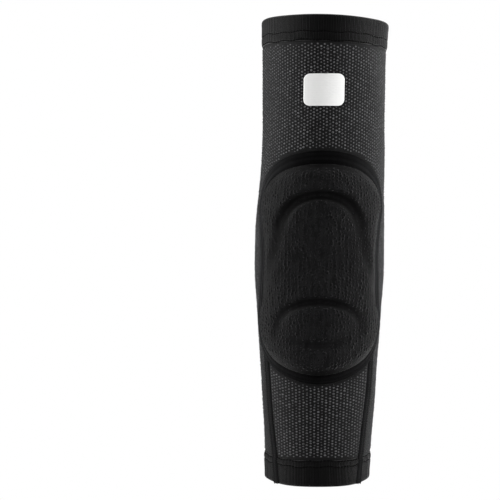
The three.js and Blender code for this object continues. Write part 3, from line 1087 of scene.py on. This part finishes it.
def hem(name, rim):
    """Turned hem with fine ribs and a stitched band."""
    section = smooth_curve(HEM_PROFILE, HEM_ROWS, closed=True)
    columns = rim.ribs * HEM_COLUMNS_PER_RIB
    angle = round_angles(columns)[None, :]
    from_rim = section[:, :1]
    lift = section[:, 1:]
    outside = smoothstep(*HEM_OUTSIDE, lift)
    to_line = np.full((HEM_ROWS, columns), np.inf)
    for line in rim.stitch_lines:
        to_line = np.minimum(to_line, np.abs(from_rim - line - hem_waver(angle)))
    sewn = outside * (1 - smoothstep(0, HEM_LINE_REACH, to_line))
    ribs_begin = smoothstep(0, HEM_RIB_FADE, from_rim)
    ribs_end = smoothstep(HEM_RIB_TO - HEM_RIB_FADE, HEM_RIB_TO, from_rim)
    ribbed = outside * ribs_begin * (1 - ribs_end)
    rib = HEM_RIB_HEIGHT * np.cos(rim.ribs * angle) * ribbed
    z = rim_height(rim, angle) + rim.inwards * from_rim
    points = on_sleeve(angle, z, lift + rib - HEM_LINE_DEPTH * sewn)
    across = np.linspace(0, TURN * PAD_RADIUS, columns + 1)
    along = lengths_along(np.concatenate([section, section[:1]]))
    cloth = np.stack(np.meshgrid(across, along), axis=-1)
    piece = grid_piece(name, points, cloth, KNIT["hem_knit"], wrap_rows=True, wrap_columns=True)
    # Painted shade along the sewn lines and at the hem's folded edges
    to_edge = np.minimum(from_rim, np.abs(from_rim - CUFF_HEIGHT))
    set_pressed_and_shade(piece, np.maximum(sewn, 1 - smoothstep(0, HEM_LINE_REACH, to_edge)))
    return piece


def hem_stitches(name, rim):
    """Two rows of stitches round a hem."""
    section = np.array(HEM_PROFILE)
    angle = round_angles(HEM_STITCH_LINE_POINTS)
    lines = []
    for line in rim.stitch_lines:
        near_outside = np.argmin(np.abs(section[:, 0] - line) - section[:, 1])
        lift = section[near_outside, 1] - HEM_LINE_DEPTH
        z = rim_height(rim, angle) + rim.inwards * (line + hem_waver(angle))
        facing, _ = sleeve_directions(angle, z)
        lines.append((on_sleeve(angle, z, lift + STITCH_RAISED * HEM_STITCH.thick), facing, True))
    return stitch_piece(name, lines, HEM_STITCH, YARN["thread"])


# Pad

PAD_EDGE = outline(PAD_EDGE_INSET)
PAD_CENTRE = np.array([0.0, PAD_CENTRE_Z])


def edge_radius(turn):
    """Distance from the pad's centre to its edge, by the turn from straight up, clockwise, from 0 to 1."""
    away = PAD_EDGE - PAD_CENTRE
    turns = np.arctan2(away[:, 0], away[:, 1]) / TURN % 1.0
    order = np.argsort(turns)
    return np.interp(turn, turns[order], np.linalg.norm(away, axis=1)[order], period=1.0)


def pad_flat(turn, share):
    """Flat point of the pad at a turn round its centre and a share of the way to its edge."""
    radius = share * edge_radius(turn)
    return PAD_CENTRE + np.stack([radius * np.sin(TURN * turn), radius * np.cos(TURN * turn)], axis=-1)


def pad_base(points):
    """Height of the pad's cover before it swells and is sewn down, at flat points inside its edge."""
    to_edge, _ = nearest(points, PAD_EDGE)
    rise = np.minimum(1, to_edge / PAD_SHOULDER)
    shoulder = 1 - (1 - rise) ** 2
    across = points[:, 0] / PAD_CROWN.half_width
    up = (points[:, 1] - PAD_CROWN.z) / PAD_CROWN.half_height
    crown = PAD_CROWN.height * (1 - smoothstep(PAD_CROWN.flat_share, 1, np.hypot(across, up)))
    return PAD_EDGE_HEIGHT + shoulder * (PAD_FULL_HEIGHT - PAD_EDGE_HEIGHT + crown)


def groove_cut(points):
    """How deep the grooves press the cover at flat points, and how fully they press it and paint it in
    shade, from 0 to 1.
    """
    cut = np.zeros(len(points))
    pressed = np.zeros(len(points))
    for groove in GROOVES:
        away, share = nearest(points, mirrored_curve(groove.rows, GROOVE_POINTS))
        to_end = smoothstep(groove.change_from, groove.change_to, np.abs(2 * share - 1))
        depth = groove.depth + (groove.end_depth - groove.depth) * to_end
        floor = groove.floor + (groove.end_floor - groove.floor) * to_end
        wall = groove.wall + (groove.end_wall - groove.wall) * to_end
        reached = 1 - smoothstep(0, 1, (away - floor) / wall)
        cut = np.maximum(cut, depth * reached)
        # Painted shade over the groove and a little beyond its wall, lighter in the middle of its floor;
        # the same value holds the swelling down and keeps loops off
        loose = GROOVE_MIDDLE_LOOSE * (1 - smoothstep(0, 1, away / floor))
        dark = 1 - smoothstep(0, 1, (away - floor) / (wall * PRESSED_AND_SHADE_WIDER))
        pressed = np.maximum(pressed, dark * (1 - loose) * np.minimum(1, depth / FULLY_PRESSED))
    return cut, pressed


def pad_grid(turns, shares):
    """Flat points of the pad on a grid of shares and turns, as one list."""
    share, turn = np.meshgrid(shares, turns, indexing="ij")
    return pad_flat(turn.ravel(), share.ravel())


def on_pad(points, lift):
    """Points of the sleeve under flat points of the pad, lifted off the tube."""
    return on_sleeve(points[:, 0] / PAD_RADIUS, points[:, 1], lift)


def as_rings(points, around):
    """A list of points as rings of equally many."""
    return points.reshape(-1, around, points.shape[-1])


SIM_SHARES = np.linspace(0, 1, SIM_RINGS)
SIM_TURNS = np.arange(SIM_AROUND) / SIM_AROUND


def pad_form():
    """Coarse closed pad for the simulation, and the numbers of its points that are sewn down."""
    flat = pad_grid(SIM_TURNS, SIM_SHARES[1:])
    centre = PAD_CENTRE[None, :]
    top = as_rings(on_pad(flat, pad_base(flat)), SIM_AROUND)
    bottom = as_rings(on_pad(flat, PAD_SEAT), SIM_AROUND)[::-1]
    poles = np.concatenate([on_pad(centre, pad_base(centre)), on_pad(centre, PAD_SEAT)])
    rings = np.concatenate([top, bottom])
    maps = np.zeros((*rings.shape[:2], 2))
    form = domed_piece("pad_form", rings, maps, poles, np.zeros((2, 2)), KNIT["pad_knit"])
    near = np.full(len(flat), np.inf)
    for groove in SEWN_GROOVES:
        near = np.minimum(near, nearest(flat, mirrored_curve(groove.rows, GROOVE_POINTS))[0])
    sewn_top = near < SIM_PINNED_NEAR_GROOVE
    sewn_top[-SIM_AROUND:] = True
    count = rings.shape[0] * rings.shape[1]
    sewn = np.concatenate([np.flatnonzero(sewn_top), np.arange(len(flat), count), [count + 1]])
    return form, sewn


def make_cloth(form, sewn):
    """Makes a form cloth under pressure, held at its sewn points."""
    group = form.vertex_groups.new(name="sewn")
    group.add(sewn.tolist(), 1.0, "REPLACE")
    cloth = form.modifiers.new("cloth", "CLOTH")
    settings = cloth.settings
    settings.quality = SIM_QUALITY
    settings.tension_stiffness = SIM_STRETCH
    settings.compression_stiffness = SIM_STRETCH
    settings.shear_stiffness = SIM_SHEAR
    settings.use_pressure = True
    settings.uniform_pressure_force = SIM_PRESSURE
    settings.effector_weights.gravity = 0.0
    settings.vertex_group_mass = group.name
    cloth.point_cache.frame_start = 1
    cloth.point_cache.frame_end = SIM_FRAMES


def simulated_swelling():
    """How far pressure lifts the pad's cover between its edge and its grooves, on the coarse grid."""
    form, sewn = pad_form()
    form.data.transform(Matrix.Scale(SIM_ENLARGED, 4))
    make_cloth(form, sewn)
    before = np.array([vertex.co for vertex in form.data.vertices])
    normals = np.array([vertex.normal for vertex in form.data.vertices])
    scene = bpy.context.scene
    for number in range(1, SIM_FRAMES + 1):
        scene.frame_set(number)
    graph = bpy.context.evaluated_depsgraph_get()
    after = np.array([vertex.co for vertex in form.evaluated_get(graph).data.vertices])
    rise = np.einsum("ij,ij->i", after - before, normals) / SIM_ENLARGED / MM
    bpy.data.objects.remove(form)
    scene.frame_set(1)
    rings = rise[: (SIM_RINGS - 1) * SIM_AROUND].reshape(SIM_RINGS - 1, SIM_AROUND)
    centre = np.full((1, SIM_AROUND), rings[0].mean())
    return np.clip(np.concatenate([centre, rings]), 0, SIM_LARGEST_SWELL)


def swelling_at(field, points):
    """Swelling at flat points, by smooth steps between the simulated ones."""
    away = points - PAD_CENTRE
    turn = np.arctan2(away[:, 0], away[:, 1]) / TURN % 1.0
    share = np.clip(np.linalg.norm(away, axis=1) / edge_radius(turn), 0, 1)
    column = np.floor(turn * SIM_AROUND).astype(int)
    part = turn * SIM_AROUND - column
    along = hermite(SIM_SHARES, field, share)
    row = np.arange(len(points))
    before, start, end, after = (along[row, (column + step) % SIM_AROUND] for step in (-1, 0, 1, 2))
    curve = 2 * start - 2 * end + (end - before) / 2 + (after - start) / 2
    bend = -3 * start + 3 * end - (end - before) - (after - start) / 2
    return start + part * ((end - before) / 2 + part * (bend + part * curve))


def pad_height(points, field):
    """Height of the finished cover at flat points."""
    cut, pressed = groove_cut(points)
    height = pad_base(points) + (1 - pressed) * swelling_at(field, points) - cut
    return np.maximum(height, PAD_LEAST_HEIGHT)


def pad_surface(points, field):
    """Points of the finished cover over flat points."""
    return on_pad(points, pad_height(points, field))


def edge_pressed_and_shade(points):
    """Painted shade along the pad's edge at flat points, from 0 to 1, reaching furthest at its top and
    foot; it also keeps loops off the edge.
    """
    to_edge, share = nearest(points, PAD_EDGE)
    _, along = outline_course(OUTLINE_POINTS)
    reach = by_course(along, *PAD_EDGE_SHADE_REACH, power=1)
    reach = reach[np.rint(share * (OUTLINE_POINTS - 1)).astype(int)]
    return 1 - smoothstep(0, 1, to_edge / reach)


def cover_pressed_and_shade(points):
    """How fully the cover is held flat and painted in shade at flat points, by its grooves and at its edge.
    """
    _, pressed = groove_cut(points)
    return np.maximum(pressed, edge_pressed_and_shade(points))


def pad_cover(field):
    """Padded cover over the elbow, with its segments divided by grooves."""
    turns = np.arange(PAD_AROUND) / PAD_AROUND
    shares = 1 - (1 - np.linspace(0, 1, PAD_RINGS + 1)[1:]) ** PAD_RING_POWER
    top_flat = pad_grid(turns, shares)
    under_flat = pad_grid(turns, PAD_UNDER_SHARES)
    centre = PAD_CENTRE[None, :]
    points = np.concatenate([pad_surface(top_flat, field), on_pad(under_flat, PAD_SEAT)])
    rings = as_rings(points, PAD_AROUND)
    maps = as_rings(np.concatenate([top_flat, under_flat]), PAD_AROUND)
    poles = np.concatenate([pad_surface(centre, field), on_pad(centre, PAD_SEAT)])
    cover = domed_piece("pad_cover", rings, maps, poles, np.repeat(centre, 2, axis=0), KNIT["pad_knit"])
    set_pressed_and_shade(cover, cover_pressed_and_shade(top_flat))
    return cover


def pad_border():
    """Knitted border with a ridge along its outer edge."""
    section = smooth_curve(BORDER_PROFILE, BORDER_SECTION_POINTS, closed=True)
    rows = []
    maps = []
    for inset, lift, _ in np.concatenate([section, section[:1]]):
        flat = outline(inset, BORDER_AROUND)
        rows.append(on_pad(flat, lift))
        maps.append(np.concatenate([flat, flat[:1]]))
    points = np.array(rows[:-1])
    cloth = np.array(maps)
    knit = KNIT["border_knit"]
    border = grid_piece("pad_border_knit", points, cloth, knit, wrap_rows=True, wrap_columns=True)
    _, along = outline_course(BORDER_AROUND)
    # Painted shade: full over the border's level parts, taken off its inner part at the sides so that these
    # stand lighter, as painted side light
    inner = smoothstep(*BORDER_INNER_PART, section[:, :1])
    share = 1 - inner * (1 - by_course(along, BORDER_SIDE_SHADE, 1, 1))
    set_pressed_and_shade(border, section[:, 2:] * share)
    return border


def stitch_line(flat, lift, closed):
    """Line of stitches over flat points: its points, the way they face and whether it closes."""
    facing, _ = sleeve_directions(flat[:, 0] / PAD_RADIUS, flat[:, 1])
    return on_pad(flat, lift), facing, closed


def border_stitches():
    """Rows of stitches along both edges of the border."""
    section = np.array(BORDER_PROFILE)
    lines = []
    for inset in BORDER_STITCH_INSETS:
        flat = outline(inset)
        lift = np.interp(inset, section[1:-1, 0], section[1:-1, 1])
        lines.append(stitch_line(flat, lift + STITCH_RAISED * BORDER_STITCH.thick, True))
    return stitch_piece("pad_border_stitches", lines, BORDER_STITCH, YARN["thread"])


# Side seams

def seam_base(z):
    """Lift of what a side seam lies on: the tube, and then the lower hem."""
    hem_edge = LOWER_RIM.z + CUFF_HEIGHT
    low, high = SEAM_CLIMB
    return SEAM_ON_HEM_LIFT * (1 - smoothstep(hem_edge + low, hem_edge + high, z))


def seam_at(side, across):
    """Flat line along a side seam, at a distance from its middle, that begins under the border's edge."""
    line = seam_line(side) + np.array([across, 0])
    edge = outline(SEAM_UNDER_BORDER)
    lobe = edge[(edge[:, 1] < PAD_LOBE_Z) & (edge[:, 0] > 0)]
    lobe = lobe[np.argsort(lobe[:, 0])]
    top = np.interp(abs(line[0, 0]), lobe[:, 0], lobe[:, 1])
    bottom = line[-1, 1]
    line[:, 1] = bottom + (line[:, 1] - bottom) * (top - bottom) / (line[0, 1] - bottom)
    return line


def side_seam(name, side):
    """Flat seam with a ridge along each edge."""
    section = smooth_curve(SEAM_PROFILE, SEAM_SECTION_POINTS, closed=True)
    rings = []
    maps = []
    for across, lift in section:
        flat = seam_at(side, across * SEAM_WIDTH)
        rings.append(on_pad(flat, seam_base(flat[:, 1]) + lift))
        maps.append(np.stack([np.full(SEAM_STEPS, across * SEAM_WIDTH), flat[:, 1]], axis=1))
    rings = np.array(rings).transpose(1, 0, 2)
    maps = np.array(maps).transpose(1, 0, 2)
    poles = np.stack([rings[0].mean(axis=0), rings[-1].mean(axis=0)])
    return domed_piece(name, rings, maps, poles, np.zeros((2, 2)), KNIT["seam_knit"])


def seam_stitches():
    """Slanted stitches along both ridges of both side seams."""
    lines = []
    for side in (-1, 1):
        for share in (-SEAM_RIDGE_SHARE, SEAM_RIDGE_SHARE):
            flat = seam_at(side, share * SEAM_WIDTH)[SEAM_STITCH_START:]
            lift = seam_base(flat[:, 1]) + SEAM_RIDGE_LIFT
            lines.append(stitch_line(flat, lift, False))
    return stitch_piece("side_seam_stitches", lines, SEAM_STITCH, YARN["thread"])


# Printed patch

def print_outline():
    """Flat outline of the patch, a rectangle with round corners."""
    right = PRINT_WIDTH / 2 - PRINT_CORNER
    top = PRINT_HEIGHT / 2 - PRINT_CORNER
    corners = [(right, top), (right, -top), (-right, -top), (-right, top)]
    points = []
    for number, (across, up) in enumerate(corners):
        for angle in np.linspace(0, math.pi / 2, PRINT_CORNER_POINTS) + number * math.pi / 2:
            points.append((across + PRINT_CORNER * math.sin(angle), up + PRINT_CORNER * math.cos(angle)))
    return evenly_spaced(np.array(points + points[:1]), PRINT_AROUND, endpoint=False)


def loop_relief(flat):
    """Relief from 0 to 1 of the knit's staggered loops, at flat points of the patch."""
    column_step = TURN * PRINT_RADIUS / LOOP_COLUMNS
    row_step = LOOP_STEPS[-1].step
    wave = np.cos(math.pi * flat[..., 0] / column_step) * np.cos(TURN * flat[..., 1] / row_step)
    return np.maximum(wave, 0)


def on_print(flat, lift):
    """Points of the sleeve under flat points of the patch, lifted off the tube."""
    return on_sleeve(flat[..., 0] / PRINT_RADIUS, PRINT_CENTRE_Z + flat[..., 1], lift)


def print_patch():
    """Plain printed patch that follows the loops under it."""
    edge = print_outline()
    shares = np.linspace(0, 1, PRINT_RINGS + 1)[1:]
    flat = shares[:, None, None] * edge[None]
    top = on_print(flat, PRINT_LIFT + PRINT_RELIEF * loop_relief(flat))
    under_flat = np.stack([edge, edge * PRINT_UNDER_SHARE])
    under = on_print(under_flat, PRINT_SINK)
    centre = np.zeros((2, 2))
    poles = on_print(centre, np.array([PRINT_LIFT + PRINT_RELIEF, PRINT_SINK]))
    rings = np.concatenate([top, under])
    maps = np.concatenate([flat, under_flat])
    return domed_piece("print_film", rings, maps, poles, centre, PRINT_FILM)


# Raised loops of the knit

def column_heights(low, high):
    """Heights of the loops of one column, with the step that the knit has there."""
    knots = [row.z for row in LOOP_STEPS]
    steps = [row.step for row in LOOP_STEPS]
    heights = [low]
    while heights[-1] < high:
        heights.append(heights[-1] + np.interp(heights[-1], knots, steps))
    return np.array(heights)


def staggered(columns, heights):
    """Places of loops in columns, every other column half a step higher."""
    middles = (heights[1:] + heights[:-1]) / 2
    places = []
    for number, column in enumerate(columns):
        rows = heights if number % 2 == 0 else middles
        places.append(np.stack([np.full(len(rows), column), rows], axis=1))
    return np.concatenate(places)


def clear_of_trim(angle, z):
    """Whether points of the tube lie clear of the hems, the pad's border and the printed patch."""
    clear = z < rim_height(UPPER_RIM, angle) - CUFF_HEIGHT - LOOP_HEM_MARGIN
    clear &= z > rim_height(LOWER_RIM, angle) + CUFF_HEIGHT + LOOP_HEM_MARGIN
    clear &= ~inside(laid_flat(angle, z), outline(-LOOP_MARGIN))
    on_patch = np.stack([wrapped(angle) * PRINT_RADIUS, z - PRINT_CENTRE_Z], axis=1)
    clear &= ~inside(on_patch, print_outline() * LOOP_PRINT_MARGIN_SCALE)
    return clear


def fading(angle, z):
    """Share of the full size that loops have: they shrink towards the border and the seams."""
    started = smoothstep(0, LOOP_FADE_LENGTH, SIDE_SEAM[0].z - z)
    behind = LOOP_FADE + (LOOP_FADE_BEHIND_SEAM - LOOP_FADE) * started
    reach = np.where(seam_side(angle, z) > 0, behind, LOOP_FADE)
    by_seam = smoothstep(0, 1, to_seams(angle, z) / reach)
    by_border = smoothstep(0, LOOP_FADE, to_border(angle, z))
    return LOOP_FADED_SIZE + (1 - LOOP_FADED_SIZE) * np.minimum(by_seam, by_border)


def bent(angle, z):
    """Loops' places after the rows have bent round the pad's lower end."""
    side = np.abs(wrapped(angle)) * PAD_RADIUS
    under = smoothstep(*BEND_UNDER, z) * (side < SEAM_REACH)
    lifted = z + BEND_RISE * under * (side / SEAM_REACH) ** 2
    beside = np.exp(-(((side - LOBE_SIDE) / LOBE_WIDTH) ** 2) - ((z - PAD_LOBE_Z) / LOBE_HEIGHT) ** 2)
    return angle + np.sign(wrapped(angle)) * LOBE_PUSH / PAD_RADIUS * beside, lifted


def tube_places(columns, heights):
    """Angles and heights of loops in staggered columns, bent round the pad and clear of the trim."""
    places = staggered(columns, heights)
    places = np.stack(bent(*places.T), axis=1)
    return places[clear_of_trim(*places.T)]


def loop_panel(name, places, size, chance):
    """One panel of loops, each a little off its place and of its own size."""
    angle = places[:, 0] + chance.normal(0, LOOP_SHIFT / PAD_RADIUS, len(places))
    z = places[:, 1] + chance.normal(0, LOOP_SHIFT, len(places))
    facing, along = sleeve_directions(angle, z)
    shares = fading(angle, z) * chance.uniform(*LOOP_SIZE_RANGE, len(places))
    return loop_piece(name, on_sleeve(angle, z, 0), facing, along, shares, size, YARN["loop_yarn"])


def tube_loops():
    """Loops of the knitted tube, in three panels."""
    low = LOWER_RIM.z + CUFF_HEIGHT
    beside_seam = SEAM_WIDTH / 2 + LOOP_MARGIN / 2
    behind = tube_places(round_angles(LOOP_COLUMNS), column_heights(low, UPPER_RIM.z))
    behind = behind[(behind[:, 1] > FRONT_PANEL_TOP) | (seam_side(*behind.T) > beside_seam)]
    upper = behind[:, 1] > UPPER_PANEL_FROM
    forearm_radius = SECTION_VALUES[1, 0]
    columns = np.arange(-FRONT_COLUMNS, FRONT_COLUMNS + 1) * FRONT_COLUMN_STEP / forearm_radius
    front = tube_places(columns, np.arange(low, FRONT_PANEL_TOP, FRONT_LOOP_STEP))
    front = front[seam_side(*front.T) < -beside_seam]
    panels = [
        ("loops_upper_arm", behind[upper], UPPER_LOOP),
        ("loops_back", behind[~upper], BACK_LOOP),
        ("loops_forearm", front, FRONT_LOOP),
    ]
    chance = np.random.default_rng(LOOP_SEED)
    return [loop_panel(name, places, size, chance) for name, places, size in panels]


def pad_loops(field):
    """Low loops of the pad's cover."""
    columns = np.arange(-PAD_COLUMNS, PAD_COLUMNS + 1) * PAD_COLUMN_STEP
    flat = staggered(columns, np.arange(PAD_OUTLINE[-1].z, PAD_OUTLINE[0].z, PAD_LOOP_STEP))
    flat = flat[inside(flat, PAD_EDGE)]
    to_edge, _ = nearest(flat, PAD_EDGE)
    flat = flat[to_edge > PAD_LOOP_MARGIN]
    pressed = cover_pressed_and_shade(flat)
    loose = pressed < PRESSED_FLAT
    flat = flat[loose]
    pressed = pressed[loose]
    chance = np.random.default_rng(LOOP_SEED)
    flat = flat + chance.normal(0, PAD_LOOP_SHIFT, flat.shape)
    places = pad_surface(flat, field)
    across = unit(pad_surface(flat + np.array([PAD_SLOPE_STEP, 0]), field) - places)
    along = unit(pad_surface(flat + np.array([0, PAD_SLOPE_STEP]), field) - places)
    facing = unit(np.cross(across, along))
    shares = chance.uniform(*PAD_LOOP_SHARES, len(flat)) * (1 - pressed)
    return loop_piece("loops_pad", places, facing, along, shares, PAD_LOOP, YARN["pad_yarn"])


# Floor, light and camera

def floor():
    """Wide pale floor under the sleeve."""
    angle = round_angles(FLOOR_SIDES)
    points = np.stack([np.cos(angle), np.sin(angle), np.zeros(FLOOR_SIDES)], axis=1) * FLOOR_RADIUS
    points[:, 2] = -FLOOR_DROP
    mesh = bpy.data.meshes.new("floor")
    mesh.from_pydata(points.tolist(), [], [list(range(FLOOR_SIDES))])
    material, sheet, shader = new_material("pale_floor", FLOOR_SPECULAR)
    cloud = mottle(sheet, FLOOR_CLOUD_SCALE, FLOOR_CLOUD_DETAIL)
    dark, light = ((tone, tone, tone) for tone in FLOOR_TONES)
    sheet.feed(shader.inputs["Base Color"], colour_between(sheet, cloud, dark, light))
    shader.inputs["Roughness"].default_value = FLOOR_ROUGHNESS
    mesh.materials.append(material)
    plate = bpy.data.objects.new("floor", mesh)
    only_floor = bpy.data.collections.new("floor")
    bpy.context.scene.collection.children.link(only_floor)
    only_floor.objects.link(plate)
    plate.visible_diffuse = False
    floor_lamp(only_floor)


def floor_lamp(only_floor):
    """Soft light from above that falls on the floor alone."""
    light = bpy.data.lights.new("floor_light", "SUN")
    light.energy = FLOOR_LIGHT
    light.angle = math.radians(FLOOR_LIGHT_ANGLE)
    source = scene_object("floor_light", light)
    source.light_linking.receiver_collection = only_floor


def point_at(source, place, aim):
    """Puts a lamp or camera at a place and turns it to what it is aimed at."""
    source.location = place
    source.rotation_euler = (Vector(aim) - Vector(place)).to_track_quat("-Z", "Y").to_euler()


def lamps():
    """White surroundings that light the sleeve only weakly, and the soft lamps."""
    world = bpy.data.worlds.new("white_studio")
    world.use_nodes = True
    sheet = NodeSheet(world.node_tree)
    background = world.node_tree.nodes["Background"]
    background.inputs["Color"].default_value = (1, 1, 1, 1)
    seen = sheet.add("ShaderNodeLightPath").outputs["Is Camera Ray"]
    sheet.feed(background.inputs["Strength"], range_between(sheet, seen, ROOM_LIGHT, 1.0))
    bpy.context.scene.world = world
    for lamp in LAMPS:
        light = bpy.data.lights.new(lamp.name, "AREA")
        light.shape = "RECTANGLE"
        light.size = lamp.width
        light.size_y = lamp.height
        light.spread = math.radians(lamp.spread)
        light.energy = lamp.power
        source = scene_object(lamp.name, light)
        point_at(source, lamp.place, lamp.aim)


def camera():
    """Camera level with the elbow, with the sleeve to the right of the picture's middle."""
    lens = bpy.data.cameras.new("camera")
    lens.sensor_width = SENSOR
    lens.lens = SENSOR * CAMERA_DISTANCE / (IMAGE_SIZE * PIXEL_SIZE * MM)
    view = scene_object("camera", lens)
    aim_x = (IMAGE_SIZE / 2 - AXIS_PIXEL) * PIXEL_SIZE * MM
    point_at(view, (0, -CAMERA_DISTANCE, 0), (aim_x, 0, 0))
    bpy.context.scene.camera = view
    bpy.context.scene.view_settings.view_transform = "Standard"


def main():
    """Makes the stage and every piece, says what each piece rides on, and hides the parts that the pieces
    replace.
    """
    camera()
    lamps()
    floor()
    swelling = simulated_swelling()
    wall = sleeve_wall()
    cover = pad_cover(swelling)
    border = pad_border()
    upper_hem = hem("upper_hem", UPPER_RIM)
    lower_hem = hem("lower_hem", LOWER_RIM)
    left_seam = side_seam("seam_left", -1)
    right_seam = side_seam("seam_right", 1)
    film = print_patch()
    upper_stitches = hem_stitches("upper_hem_stitches", UPPER_RIM)
    lower_stitches = hem_stitches("lower_hem_stitches", LOWER_RIM)
    by_slot = {
        "hem_knit": [upper_hem, lower_hem, upper_stitches, lower_stitches],
        "border_knit": [border, border_stitches()],
        "seam_tape": [left_seam, right_seam, seam_stitches()],
        "print_film": [film],
        "mesh_knit": [wall, *tube_loops()],
        "pad_cover": [cover, pad_loops(swelling)],
    }
    for slot, pieces in by_slot.items():
        for piece in pieces:
            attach(piece, "root")
    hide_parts("sleeve_tube")
    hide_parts("pad_crescent", "pad_cap", "pad_heel")
    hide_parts("pad_border")
    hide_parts("upper_cuff")
    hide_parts("lower_cuff")
    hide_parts("side_seam_left")
    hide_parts("side_seam_right")
    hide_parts("print_patch")


main()
